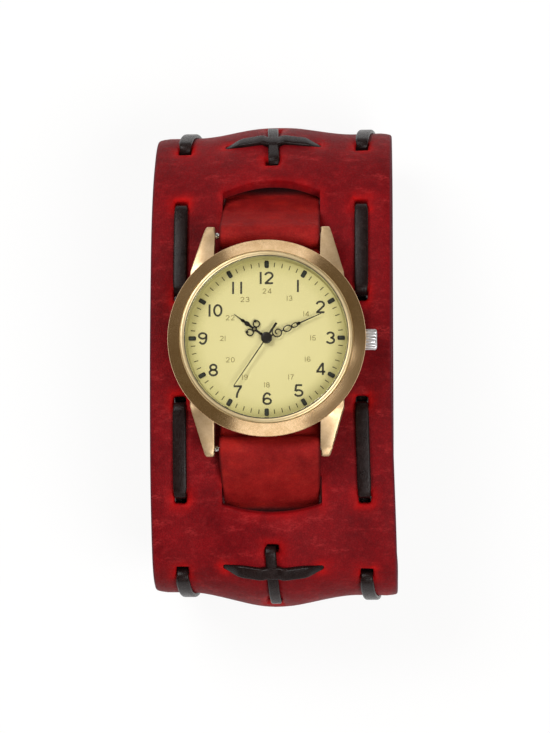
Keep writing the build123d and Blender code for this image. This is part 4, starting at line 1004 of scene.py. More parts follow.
@dataclass
class Sheet:
    """A cut piece of leather with holes, bevelled while flat and then laid in place."""

    name: str
    columns: Sequence[float]
    rows: Sequence[float]
    thickness: float
    rim: float
    holes: Sequence[tuple[float, float, float, float]] = ()
    seams: Sequence[float] = ()

    def cut(self) -> Shape:
        """The flat sheet: a grid with its holes cut, its thickness and its rounded rims."""
        made = Shape(self.name)
        across, along = len(self.columns) - 1, len(self.rows) - 1
        bmesh.ops.create_grid(made.mesh, x_segments=across, y_segments=along, size=1.0)
        for vert in made.mesh.verts:
            column, row = (vert.co.x + 1) / 2 * across, (vert.co.y + 1) / 2 * along
            vert.co = (self.columns[round(column)], self.rows[round(row)], 0)
        inside = [face for face in made.mesh.faces
                  if any(Cuff.gap(*face.calc_center_median().xy, hole) == 0 for hole in self.holes)]
        bmesh.ops.delete(made.mesh, geom=inside, context="FACES")
        lower = bmesh.ops.extrude_face_region(made.mesh, geom=list(made.mesh.faces))["geom"]
        points = [part for part in lower if isinstance(part, bmesh.types.BMVert)]
        bmesh.ops.translate(made.mesh, verts=points, vec=(0, 0, -self.thickness))
        bmesh.ops.recalc_face_normals(made.mesh, faces=made.mesh.faces)
        made.round_edges(self.rim, 3, keep=self.at_seam)
        return made

    def at_seam(self, edge: bmesh.types.BMEdge) -> bool:
        """Whether an edge lies where the leather goes on as another piece."""
        return any(all(abs(vert.co.y - seam) < self.rim for vert in edge.verts) for seam in self.seams)

    def mark(self, shape: Shape, masks: dict[str, Callable[[Vector], float]]) -> None:
        """Writes masks onto the flat sheet, which its finish reads."""
        for name, mask in masks.items():
            layer = shape.mesh.verts.layers.float.new(name)
            for vert in shape.mesh.verts:
                vert[layer] = mask(vert.co)

    def lay(self, shape: Shape, place: Callable[[float, float, float], Vector]) -> None:
        """Moves each point of the flat sheet to where it lies on the watch."""
        for vert in shape.mesh.verts:
            vert.co = place(*vert.co)


class CuffLeather:
    """The cuff's three pieces of leather: the front and the two ends that open."""

    def __init__(self, cuff: Cuff) -> None:
        """Keeps the cuff whose leather this is."""
        self.cuff = cuff

    def rub(self, spot: Vector) -> float:
        """How bright the leather is rubbed: round the lace holes, along the slots and at the rims."""
        cuff = self.cuff
        hole = min(cuff.gap(spot.x, spot.y, one) for one in cuff.holes())
        slot = min(cuff.gap(spot.x, spot.y, one) for one in cuff.slots())
        patch = 0.75 + 0.9 * noise.noise(Vector((spot.x / 2, spot.y / 2, 3)))
        return max(0.0, min(1.0, patch * max(math.exp(-(hole / 1.35) ** 2),
                                             0.4 * math.exp(-(slot / 1.2) ** 2))))

    def edge(self, spot: Vector) -> float:
        """Whether a place is on the cut side of the leather."""
        out = smooth(abs(spot.x), self.cuff.width / 2 - 0.5, self.cuff.width / 2 - 0.1)
        return 0.8 * out

    def flesh(self, spot: Vector) -> float:
        """Whether a place is on the hide's rough inner face."""
        return smooth(-spot.z, self.cuff.leather * 0.75, self.cuff.leather * 0.98)

    def place(self, x: float, length: float, height: float) -> Vector:
        """Lays a point of the flat leather on the cuff, with its swellings and rounded ends."""
        cuff = self.cuff
        side = 1 if length >= 0 else -1
        for end, at_tip in ((cuff.upper_length + cuff.outer_flap, side > 0),
                            (cuff.lower_length + cuff.inner_flap, side < 0)):
            left = end - abs(length)
            if at_tip and left < cuff.flap_corner:
                cut = cuff.flap_corner - max(left, 0)
                half = cuff.width / 2 - cuff.flap_corner + math.sqrt(max(cuff.flap_corner ** 2 - cut ** 2, 0))
                x *= half / (cuff.width / 2)
        end = Side.UPPER if side > 0 else Side.LOWER
        near_slot = math.exp(-((abs(length) - cuff.far_end(end)) / 2.5) ** 2)
        arch = cuff.slot_arch[0 if side > 0 else 1] * min(1.0, (x / cuff.slot_half) ** 2) * near_slot
        inner = 1 - smooth(abs(x), cuff.slot_half, cuff.slot_half + 4)
        shifted = length - side * arch * inner
        return cuff.place(x, shifted, cuff.pressed(x, length, height) + cuff.lift(x, length))

    def piece(self, name: str, low: float, high: float, seams: Sequence[float], body: str) -> bpy.types.Object:
        """Makes one piece of the leather.

        Args:
            name: The piece's name.
            low: The length where it starts.
            high: The length where it ends.
            seams: The lengths where the leather goes on as another piece.
            body: The body that it rides on, or nothing.

        Returns:
            The piece.
        """
        cuff = self.cuff
        gaps = [hole for hole in cuff.holes() + cuff.slots() + cuff.snap_holes()
                if low < hole[2] and hole[3] < high]
        tips = [end for end in (low, high) if end not in seams]
        marks = [low, high] + [mark for hole in gaps for mark in hole[2:]]
        marks += [tip - math.copysign(cuff.flap_corner * (1 - math.cos(math.radians(turn))), tip)
                  for tip in tips for turn in range(0, 91, 15)]
        lines = [x for hole in gaps for x in hole[:2]]
        if not body:
            hinge = cuff.outer_hinge if low > 0 else cuff.inner_hinge
            marks += cuff.snap_lines(low if low > 0 else high, hinge)
            reach = cuff.cap_seat[0] + cuff.seat_wall
            count = round(2 * reach / cuff.snap_fine)
            lines += [way * (cuff.snap_x - reach + 2 * reach * step / count)
                      for step in range(count + 1) for way in (-1, 1)]
        columns = spread([-cuff.width / 2, cuff.width / 2] + lines, cuff.step)
        sheet = Sheet(name, columns, spread(marks, cuff.step), cuff.leather, cuff.rim, gaps, seams)
        shape = sheet.cut()
        sheet.mark(shape, {"rub": self.rub, "edge": self.edge, "flesh": self.flesh})
        sheet.lay(shape, self.place)
        return shape.finish(CUFF_RED, body, slot="cuff_leather")

    def build(self) -> None:
        """Makes the front, which rides on the watch's body, and both ends, which ride on none."""
        cuff = self.cuff
        upper, lower = cuff.upper_length, -cuff.lower_length
        front = self.piece("cuff_front_leather", lower, upper, (lower, upper), WATCH_BODY)
        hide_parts("cuff_front")
        outer = self.piece("cuff_outer_end_leather", upper, upper + cuff.outer_flap, (upper,), "")
        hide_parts("cuff_flap_outer")
        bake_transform(outer)
        inner = self.piece("cuff_inner_end_leather", lower - cuff.inner_flap, lower, (lower,), "")
        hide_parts("cuff_flap_inner")
        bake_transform(inner)


@dataclass
class Head:
    """Where the watch head's levels are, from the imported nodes."""

    bar_reach: float = 22.3
    bar_lift: float = 2.4

    def __post_init__(self) -> None:
        """Reads the levels."""
        low, high = node_box("dial")
        self.x, self.y = (low.x + high.x) / 2, (low.y + high.y) / 2
        self.dial_top = high.z
        low, high = node_box("bezel")
        self.bezel_radius = (high.x - low.x) / 2
        self.seat, self.lip_top = low.z, high.z
        self.glass_top = node_box("glass")[1].z
        self.stem_z = sum(corner.z for corner in node_box("stem")) / 2

    def centre(self, height: float) -> tuple[float, float, float]:
        """A point on the dial's axis."""
        return (self.x, self.y, height)


@dataclass
class Strap:
    """The one strap, through both slots and under the watch head."""

    cuff: Cuff
    head: Head
    width: float = 20.0
    lug_width: float = 21.0
    slot_width: float = 20.2
    thickness: float = 1.8
    clearance: float = 0.1
    end: float = 60.0
    bulge: float = 2.0
    bulge_full: float = 38.0
    bar_radius: float = 0.75
    rim: float = 0.5
    step: float = 0.6
    belly: float = 0.3
    slot_play: Point = (0.5, 1.7)
    # How far the painted shadow reaches along the strap from the slots' rims.
    slot_shadow_reach: float = 2.4
    bar_clear: Point = (1.6, 4.5)

    def corners(self, side: Side) -> list[Point]:
        """The strap's corners in side view, from its laced end to the flat under the head."""
        cuff, way, half = self.cuff, side.value, self.thickness / 2
        under = -cuff.leather - self.clearance - half
        laced = spread((self.bulge_full, self.end), self.step)[::-1]
        points = [cuff.spot(way * length, under + self.bulge)[:2] for length in laced]
        play = self.slot_play[0 if side is Side.UPPER else 1]
        turn = cuff.spot(way * (cuff.far_end(side) + half - play), under - self.clearance)
        bar_y, bar_z = self.head.y + way * self.head.bar_reach, cuff.crest + self.head.bar_lift
        wrap = self.bar_radius + self.clearance + half
        reach = Vector((way * (turn[0] - bar_y), bar_z - turn[1]))
        climb = math.atan2(reach.y, reach.x) + math.asin(wrap / reach.length)
        inside = bar_y - way * wrap
        top = turn[1] + way * (turn[0] - inside) * math.tan(climb)
        return points + [turn[:2], (inside, top), (inside, cuff.crest + self.clearance + half)]

    def shade(self, y: float) -> float:
        """The share of painted shadow on the leather where it goes down through the slots."""
        side = Side.UPPER if y > self.head.y else Side.LOWER
        rim = abs(self.cuff.spot(side.value * self.cuff.far_end(side))[0] - self.head.y)
        return smooth(abs(y - self.head.y), rim - self.slot_shadow_reach, rim - 0.3)

    def build(self) -> None:
        """Cuts the strap flat, and bends it along its path."""
        upper, lower = self.corners(Side.UPPER), self.corners(Side.LOWER)
        half = self.thickness / 2
        wrap = self.bar_radius + self.clearance + half
        laced = [0.0] * (len(upper) - 5) + [2 * half, 2 * half, wrap, half * 4 / 3]
        path = rounded_path(upper + lower[::-1], laced + laced[::-1], self.step)
        count = len(path) - 1
        slopes = [(path[min(step + 1, count)] - path[max(step - 1, 0)]).normalized()
                  for step in range(count + 1)]
        columns = spread((-self.width / 2, self.width / 2), 1.25)
        columns = spread([*columns, 0.8 - self.width / 2, self.width / 2 - 0.8], 1.25)
        sheet = Sheet("strap_leather", columns, range(count + 1), self.thickness, self.rim)
        shape = sheet.cut()
        sheet.mark(shape, {
            "rub": lambda spot: 0.5 * smooth(abs(noise.noise(Vector((spot.x / 4, spot.y / 6, 7)))), 0.25, 0.6),
            # The edge mask darkens the strap's cut edges and also paints the shadow where the strap goes down
            # through the slots.
            "edge": lambda spot: max(0.7 * smooth(abs(spot.x), self.width / 2 - 0.7, self.width / 2),
                                     self.shade(path[min(max(round(spot.y), 0), count)].x)),
            "flesh": lambda spot: smooth(-spot.z, half, 2 * half)})

        def place(x: float, step: float, height: float) -> Vector:
            low = min(int(max(step, 0)), count - 1)
            share = step - low
            spot, slope = path[low].lerp(path[low + 1], share), slopes[low].lerp(slopes[low + 1], share)
            out = Vector((slope.y, -slope.x)).normalized()
            near = smooth(abs(spot.x - self.head.y), self.head.bar_reach, self.head.bar_reach + 14)
            x *= (self.lug_width + (self.slot_width - self.lug_width) * near) / self.width
            under = smooth(abs(spot.x - self.head.y), 32.0, 38.0)
            side = spot.x - self.head.y
            curl = under * (self.cuff.crown(0, side) - self.cuff.crown(x, side))
            off_bar = smooth(abs(abs(side) - self.head.bar_reach), *self.bar_clear)
            curl += (1 - under) * off_bar * self.belly * (2 * x / self.width) ** 2
            spot = spot + out * (height + half - curl)
            return Vector((x, spot.x, spot.y))

        sheet.lay(shape, place)
        bmesh.ops.recalc_face_normals(shape.mesh, faces=shape.mesh.faces)
        shape.finish(STRAP_RED, WATCH_BODY, ["strap"], "strap_leather")


@dataclass
class Laces:
    """The flat thongs: one along each side of the cuff, and a cross over each end of the strap."""

    cuff: Cuff
    width: float = 2.9
    thickness: float = 1.1
    rounding: float = 0.4
    pinch: float = 0.8
    tail: float = 6.0
    cross_tail: float = 5.0
    corner: float = 1.1
    dive: float = 3.0
    rise: float = 3.6
    tuck: float = 0.95
    cross_corner: float = 0.6
    cross_width: float = 2.9
    cross_sink: float = 0.2
    slim_share: float = 0.4
    step: float = 0.4
    sink: float = 0.15
    pressed: float = 0.75
    hump: float = 0.6

    def over(self) -> float:
        """The height of a thong's middle where it lies on the leather."""
        return self.thickness / 2 - self.sink

    def under(self) -> float:
        """The height of a thong's middle where it lies inside the cuff."""
        return -self.cuff.leather - self.thickness / 2 - 0.1

    def run(self, corners: Sequence[Point], x: Callable[[float], float], name: str, node: str,
            lifted: bool = False) -> None:
        """Makes a thong along the cuff.

        Args:
            corners: Lengths along the cuff, each with a height.
            x: The place across the cuff at a length.
            name: The piece's name.
            node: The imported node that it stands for.
            lifted: Whether its inner run lies on the strap, which the swelling carries outwards.
        """
        cuff = self.cuff
        path = rounded_path(corners, [self.corner] * (len(corners) - 2), self.step)
        points, sides, spans = [], [], []
        for length, height in path:
            swell = cuff.swell(length) * cuff.crown(x(length), length) + cuff.spare(x(length), length)
            points.append(cuff.place(x(length), length, height + swell))
            sides.append(Vector((1, 0, 0)))
            spans.append(abs(height - self.over()) < 0.1)
        whole = len(spans) - 1

        def width(share: float) -> float:
            step = round(share * whole)
            near = sum(spans[max(step - 3, 0):step + 4]) / 7
            return self.width * (self.pinch + (1 - self.pinch) * (near if lifted or near else 0.5))

        shape = ribbon(points, sides, width, self.thickness, self.rounding, name)
        shape.finish(LACE_BROWN, WATCH_BODY, [node], "lace_leather")

    def side_corners(self) -> list[Point]:
        """The running stitch, from one end of the cuff to the other."""
        first, second, third, last = self.cuff.stitch_holes
        over, under = self.over(), self.under()
        half = [(first, under), (first, over), (second, over), (second, under), (third, under),
                (third, over), (last, over), (last, under), (last + self.tail, under)]
        return [(-length, height) for length, height in half[::-1]] + half

    def cross(self, side: Side) -> None:
        """Makes both thongs of the cross over one end of the strap."""
        cuff, way = self.cuff, side.value
        place = side.name.lower()
        near, far = cuff.cross_holes
        over, under = self.over(), self.under() - 1.9
        lower = over - self.pressed
        corners = [(near + self.cross_tail, under), (near, under), (near, lower), (far, lower),
                   (far, under), (far - self.cross_tail, under)]
        corners = [(way * length, height) for length, height in corners]
        lean = 0.8 if side is Side.LOWER else -0.7
        middle = (near + far) / 2
        self.run(corners, lambda length: lean * (abs(length) - middle) / (far - near),
                 f"lace_cross_{place}_along_thong", f"lace_cross_{place}_along", lifted=True)
        reach = cuff.cross_reach
        half = [(reach - self.rise, over - self.cross_sink), (reach, -self.tuck), (reach, under)]
        corners = [(-x, height) for x, height in half[::-1]] + half
        path = rounded_path(corners, [self.cross_corner, self.dive, self.dive, self.cross_corner], self.step)
        points = []
        for x, height in path:
            length = cuff.cross_line(side, x)
            out = cuff.lift(x, length) + self.hump * math.exp(-(x / self.width) ** 2)
            points.append(cuff.place(x, length, height + out))
        across = [cuff.along(cuff.cross_line(side, 0.0))] * len(points)

        def width(share: float) -> float:
            out = abs(path[round(share * (len(path) - 1))].x) / reach
            return self.cross_width * (1 - (1 - self.slim_share) * smooth(out, 0.55, 1.0))

        shape = ribbon(points, across, width, self.thickness, self.rounding, f"lace_cross_{place}_across_thong")
        shape.finish(LACE_BROWN, WATCH_BODY, [f"lace_cross_{place}_across"], "lace_leather")

    def build(self) -> None:
        """Makes both side thongs and both crosses."""
        def slant(x: float) -> Callable[[float], float]:
            third, last = self.cuff.stitch_holes[2:]
            return lambda length: x + self.cuff.stitch_slant * smooth(abs(length), third, last)

        for name, x in (("lace_left", -self.cuff.stitch_x), ("lace_right", self.cuff.stitch_x)):
            self.run(self.side_corners(), slant(x), f"{name}_thong", name)
        for side in Side:
            self.cross(side)


@dataclass
class Case:
    """The case middle with its lugs, the bezel, the crystal and the crown."""

    head: Head
    lug_rounding: float = 0.22
    tip_rounding: float = 0.42
    tip_start: float = 23.2
    band_inner: float = 17.98
    band_rise: float = 2.8
    rim_low: float = 0.35
    rim_high: float = 1.0
    rim_break: float = 0.25
    under: float = 0.4
    groove: float = 0.22
    groove_depth: float = 0.2
    lip_inner: float = 16.96
    lip_round: float = 0.14
    glass_rounding: float = 0.1
    seal_bore: float = 17.05
    band_crown: float = 0.03
    crown_radius: float = 2.2
    crown_length: float = 2.6
    crown_start: float = 20.1
    knurls: int = 16
    knurl_depth: float = 0.32
    crown_break: float = 0.38
    crown_hollow: float = 1.55
    hollow_depth: float = 1.6

    def middle(self) -> None:
        """The case middle and its four lugs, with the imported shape's edges softly broken."""
        made = Shape("case_middle_polished")
        made.mesh.from_mesh(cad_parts["case_middle"].data)
        made.stretch(1 / MM, 1 / MM, 1 / MM).clean()
        bmesh.ops.dissolve_limit(made.mesh, angle_limit=math.radians(0.5), verts=made.mesh.verts,
                                 edges=made.mesh.edges)
        made.round_edges(self.tip_rounding, 3, math.radians(30), keep=self.off_tip)
        made.round_edges(self.lug_rounding, 2, math.radians(30))
        brushed = Metal("case_champagne", bright=(226, 198, 160), dull=(192, 160, 118), rough=(0.38, 0.48),
                        brushing=Brushing.ALONG, line=0.1, depth=0.0025, centre=self.head.centre(0.0))
        made.finish(brushed, WATCH_BODY, ["case_middle"], "case_steel")

    def off_tip(self, edge: bmesh.types.BMEdge) -> bool:
        """Whether an edge lies away from the lugs' ends."""
        return any(abs(vert.co.y - self.head.y) < self.tip_start for vert in edge.verts)

    def ridge(self, inner: float, outer: float, top: float) -> list[Point]:
        """The rounded lip's profile, from its outer to its inner edge."""
        middle, half = (inner + outer) / 2, (outer - inner) / 2
        angles = [math.radians(turn) for turn in range(0, 181, 20)]
        return [(middle + half * math.cos(angle), top - self.lip_round * (1 - math.sin(angle)))
                for angle in angles]

    def bezel(self) -> None:
        """The bezel: a turned rim, a sloped brushed band, a fine groove and a polished lip."""
        head = self.head
        low, radius = head.seat, head.bezel_radius
        bore = radius - 2.15
        ring_top = node_box("inner_ring")[1].z + 0.05 - low
        seal_top = node_box("glass_gasket")[1].z + 0.02 - low
        slope = self.band_rise - self.rim_high - self.rim_break
        reach = radius - self.rim_break - self.band_inner
        band = [(radius - self.rim_break - reach * share,
                 self.rim_high + self.rim_break + slope * share + self.band_crown * math.sin(math.pi * share))
                for share in (turn / 8 for turn in range(9))]
        edge = [math.radians(turn) for turn in range(0, 56, 11)]
        rim = [(radius - self.rim_break * (1 - math.cos(angle)),
                self.rim_high + self.rim_break * (math.sin(angle) - 0.2)) for angle in edge]
        profile = [(bore, 0), (radius - self.under, 0), (radius - 0.08, self.rim_low - 0.06),
                   (radius, self.rim_low), *rim, *band,
                   (self.band_inner - self.groove * 0.3, self.band_rise - self.groove_depth),
                   (self.band_inner - self.groove * 0.7, self.band_rise - self.groove_depth),
                   (self.band_inner - self.groove, self.band_rise + 0.06),
                   *self.ridge(self.lip_inner, self.band_inner - self.groove, head.lip_top - low),
                   (self.lip_inner, seal_top), (self.seal_bore, seal_top), (self.seal_bore, ring_top),
                   (bore, ring_top)]
        made = lathe(profile, 192).move(*head.centre(low))
        made.name = "bezel_turned"
        brushed = Metal("bezel_brushed", bright=(246, 212, 168), dull=(208, 168, 116), rough=(0.18, 0.26),
                        brushing=Brushing.ROUND, line=0.1, depth=0.002, centre=head.centre(0.0))
        ring = made.finish(brushed, WATCH_BODY, ["bezel"], "bezel_steel", sharp=math.radians(30))
        polished = Metal("bezel_lip", bright=(222, 202, 160), dull=(196, 172, 126), rough=(0.4, 0.48), depth=0.0003)
        ring.data.materials.append(polished.material())
        for face in ring.data.polygons:
            out = math.hypot(face.center.x / MM - head.x, face.center.y / MM - head.y)
            face.material_index = int(out < self.band_inner - 0.02)

    def glass(self) -> None:
        """The flat crystal with its rounded upper edge."""
        low, high = node_box("glass")
        radius, top, round_off = (high.x - low.x) / 2, high.z - low.z, self.glass_rounding
        edge = [math.radians(turn) for turn in range(0, 91, 15)]
        rim = [(radius - round_off * (1 - math.cos(angle)), top - round_off * (1 - math.sin(angle)))
               for angle in edge]
        made = lathe([(0, 0), (radius, 0), *rim, (0, top)], 192).move(*self.head.centre(low.z))
        made.name = "crystal_flat"
        made.finish(Crystal("crystal"), WATCH_BODY, ["glass"], "clear_glass", sharp=math.radians(50))

    def crown(self) -> None:
        """The crown, with its coarse rounded knurl and a broken outer edge."""
        made = Shape("crown_knurled")
        count = self.knurls * 16
        bmesh.ops.create_circle(made.mesh, cap_ends=False, segments=count, radius=self.crown_radius)
        levels = ((0.0, 0.95), (0.16, 1.0), (self.crown_length - self.crown_break, 1.0),
                  (self.crown_length - self.crown_break / 3, 0.93), (self.crown_length, 0.83))
        rings, edges = [list(made.mesh.verts)], list(made.mesh.edges)
        for _ in levels[1:]:
            grown = bmesh.ops.extrude_edge_only(made.mesh, edges=edges)["geom"]
            edges = [part for part in grown if isinstance(part, bmesh.types.BMEdge)]
            rings.append([part for part in grown if isinstance(part, bmesh.types.BMVert)])
        for (height, share), ring in zip(levels, rings):
            for vert in ring:
                angle = math.atan2(vert.co.y, vert.co.x)
                wave = 0.5 - 0.5 * math.cos(self.knurls * angle)
                radius = min(self.crown_radius - self.knurl_depth * wave ** 2, self.crown_radius * share)
                vert.co = (radius * math.cos(angle), radius * math.sin(angle), height)
        outer = [edge for edge in made.mesh.edges if edge.is_boundary and edge.verts[0].co.z > 1]
        bmesh.ops.contextual_create(made.mesh, geom=outer)
        inner = [edge for edge in made.mesh.edges if edge.is_boundary]
        grown = bmesh.ops.extrude_edge_only(made.mesh, edges=inner)["geom"]
        points = [part for part in grown if isinstance(part, bmesh.types.BMVert)]
        for vert in points:
            vert.co.xy = vert.co.xy.normalized() * self.crown_hollow
        edges = [part for part in grown if isinstance(part, bmesh.types.BMEdge)]
        grown = bmesh.ops.extrude_edge_only(made.mesh, edges=edges)["geom"]
        points = [part for part in grown if isinstance(part, bmesh.types.BMVert)]
        bmesh.ops.translate(made.mesh, verts=points, vec=(0, 0, self.hollow_depth))
        edges = [part for part in grown if isinstance(part, bmesh.types.BMEdge)]
        bmesh.ops.contextual_create(made.mesh, geom=edges)
        made.clean().turn(math.pi / 2, "Y")
        made.move(self.head.x + self.crown_start, self.head.y, self.head.stem_z)
        made.finish(CHROME, "crown_turn_body", ["crown"], "bright_steel", sharp=math.radians(55))

    def build(self) -> None:
        """Makes the case's pieces in order."""
        self.middle()
        self.bezel()
        self.crown()
        self.glass()


@dataclass(frozen=True)
class Arc:
    """A stretch of an ellipse: its middle, its half width and half height, and its angles in degrees."""

    x: float
    y: float
    across: float
    up: float
    start: float
    end: float

    def points(self) -> list[Point]:
        """The arc as points, from its start to its end."""
        count = max(2, round(abs(self.end - self.start) / 12))
        angles = [math.radians(self.start + (self.end - self.start) * turn / count)
                  for turn in range(count + 1)]
        return [(self.x + self.across * math.cos(angle), self.y + self.up * math.sin(angle))
                for angle in angles]


@dataclass(frozen=True)
class Numerals:
    """Plain round digits of one even line, drawn as shares of their height."""

    wide_share: float = 0.54
    strokes: ClassVar[dict[str, tuple[tuple[Arc | Point, ...], ...]]] = {
        "0": ((Arc(0.27, 0.5, 0.205, 0.435, 90, 455),),),
        "1": (((0.0, 0.0), (0.0, 1.0)),),
        "2": ((Arc(0.265, 0.69, 0.205, 0.245, 172, -28), (0.085, 0.085)), ((0.03, 0.065), (0.5, 0.065))),
        "3": ((Arc(0.26, 0.72, 0.185, 0.215, 165, -90), Arc(0.26, 0.285, 0.21, 0.22, 88, -165)),),
        "4": (((0.39, 0.0), (0.39, 1.0)), ((0.37, 0.94), (0.06, 0.28)), ((0.02, 0.265), (0.53, 0.265))),
        "5": (((0.47, 0.935), (0.11, 0.935)), ((0.135, 0.96), (0.085, 0.45)),
              (Arc(0.27, 0.3, 0.215, 0.235, 140, -165),)),
        "6": ((Arc(0.275, 0.29, 0.21, 0.225, 90, 455),), (Arc(0.28, 0.47, 0.215, 0.465, 205, 38),)),
        "7": (((0.03, 0.935), (0.5, 0.935)), ((0.46, 0.92), (0.33, 0.64), (0.235, 0.33), (0.2, 0.0))),
        "8": ((Arc(0.27, 0.72, 0.175, 0.215, 90, 455),), (Arc(0.27, 0.285, 0.21, 0.225, 90, 455),)),
        "9": ((Arc(0.265, 0.71, 0.21, 0.225, 90, 455),), (Arc(0.26, 0.53, 0.215, 0.465, 25, -142),)),
    }

    def digit(self, sign: str, height: float, width: float, line: float, thickness: float) -> Shape:
        """One digit, standing on y = 0 from x = 0.

        Args:
            sign: The digit.
            height: How tall it is.
            width: How wide it is.
            line: How wide its line is.
            thickness: How thick the print is.

        Returns:
            The digit.
        """
        made = Shape("digit")
        for stroke in self.strokes[sign]:
            spots = [spot for part in stroke for spot in (part.points() if isinstance(part, Arc) else [part])]
            points = [Vector((x * width / self.wide_share, y * height, thickness / 2)) for x, y in spots]
            last = len(points) - 1
            sides = [(points[min(step + 1, last)] - points[max(step - 1, 0)]).cross(Vector((0, 0, 1))).normalized()
                     for step in range(len(points))]
            made.add(ribbon(points, sides, lambda share: line, thickness, 0.0, "stroke"))
        return made


@dataclass
class Dial:
    """What is printed and set on the dial: numerals, ticks and the hour blocks' fillings."""

    head: Head
    radius: float = 18.2
    print_height: float = 0.02
    cap_height: float = 2.54
    small_height: float = 1.07
    width_share: float = 0.78
    ones_gap: float = 1.24
    line_share: float = 0.165
    small_line_share: float = 0.13
    gap_share: float = 0.2
    tick_middle: float = 15.25
    tick_length: float = 0.95
    tick_width: float = 0.2
    block_middle: float = 15.3
    fill: Point = (0.34, 0.85)
    block_rise: float = 0.12
    hours: dict[str, Point] = field(default_factory=lambda: {
        "12": (0.0, 12.49), "1": (6.42, 10.78), "2": (11.05, 6.4), "3": (13.11, 0.0),
        "4": (11.09, -6.4), "5": (6.55, -10.86), "6": (0.08, -12.49), "7": (-5.91, -11.03),
        "8": (-10.97, -6.53), "9": (-13.15, 0.0), "10": (-10.53, 5.8), "11": (-6.09, 10.47)})
    afternoon: dict[str, Point] = field(default_factory=lambda: {
        "24": (0.06, 9.77), "13": (4.73, 8.26), "14": (8.14, 4.98), "15": (9.54, 0.0),
        "16": (8.43, -4.38), "17": (5.04, -8.05), "18": (0.06, -9.66), "19": (-4.44, -8.05),
        "20": (-7.48, -4.44), "21": (-9.07, 0.0), "22": (-7.52, 4.27), "23": (-4.48, 8.05)})

    def numerals(self, name: str, labels: dict[str, Point], height: float, line: float,
                 finish: Finish) -> None:
        """Prints one ring of numerals, each centred on its place.

        Args:
            name: The piece's name.
            labels: The middle of each number, from the dial's centre.
            height: How tall the digits are.
            line: How wide their line is.
            finish: The ink.
        """
        made, digits = Shape(name), Numerals()
        for label, (x, y) in labels.items():
            gap = height * self.gap_share
            if label == "11":
                gap = self.ones_gap
            widths = [line if sign == "1" else self.width_share * height for sign in label]
            start = x - (sum(widths) + gap * (len(widths) - 1)) / 2
            for sign, width in zip(label, widths):
                shape = digits.digit(sign, height, width, line, self.print_height)
                made.add(shape.move(start + (line / 2 if sign == "1" else 0.0), y - height / 2))
                start += width + gap
        made.move(*self.head.centre(self.head.dial_top + 0.002))
        made.finish(finish, WATCH_BODY, slot="dial_paint")

    def marks(self, name: str, size: Point, middle: float, base: float, height: float, finish: Finish,
              chosen: Iterable[int]) -> None:
        """Sets small plates round the dial.

        Args:
            name: The piece's name.
            size: The width and the length of each plate.
            middle: The radius of their middles.
            base: The level that they stand on.
            height: How thick they are.
            finish: Their paint.
            chosen: The minutes that have one.
        """
        made = Shape(name)
        half_width, half_length = size[0] / 2, size[1] / 2
        for minute in chosen:
            mark = plate([(-half_width, middle - half_length), (half_width, middle - half_length),
                          (half_width, middle + half_length), (-half_width, middle + half_length)], height)
            made.add(mark.turn(-2 * math.pi * minute / 60))
        made.move(*self.head.centre(base))
        made.finish(finish, WATCH_BODY, slot="dial_paint")

    def build(self) -> None:
        """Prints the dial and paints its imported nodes."""
        top = self.head.dial_top
        self.numerals("hour_numerals", self.hours, self.cap_height, self.line_share * self.cap_height,
                      NUMERAL_INK)
        self.numerals("afternoon_numerals", self.afternoon, self.small_height,
                      self.small_line_share * self.small_height, SMALL_INK)
        ticks = [minute for minute in range(60) if minute % 5]
        self.marks("minute_ticks", (self.tick_width, self.tick_length), self.tick_middle, top + 0.002,
                   self.print_height, TICK_INK, ticks)
        self.marks("hour_block_fillings", self.fill, self.block_middle, top + self.block_rise - 0.01, 0.03,
                   BLOCK_GREEN, range(0, 60, 5))
        # The rim colour is painted shade under the bezel's lip.
        face = DialPaint("matt_cream", centre=self.head.centre(top), radius=self.radius,
                         heart=(242, 232, 167), middle=(235, 225, 158), rim=(194, 186, 115))
        for node, finish in (("dial", face), ("hour_blocks", BLOCK_BLACK), ("inner_ring", RING_PAINT)):
            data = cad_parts[node].data
            data.materials.clear()
            data.materials.append(finish.material())


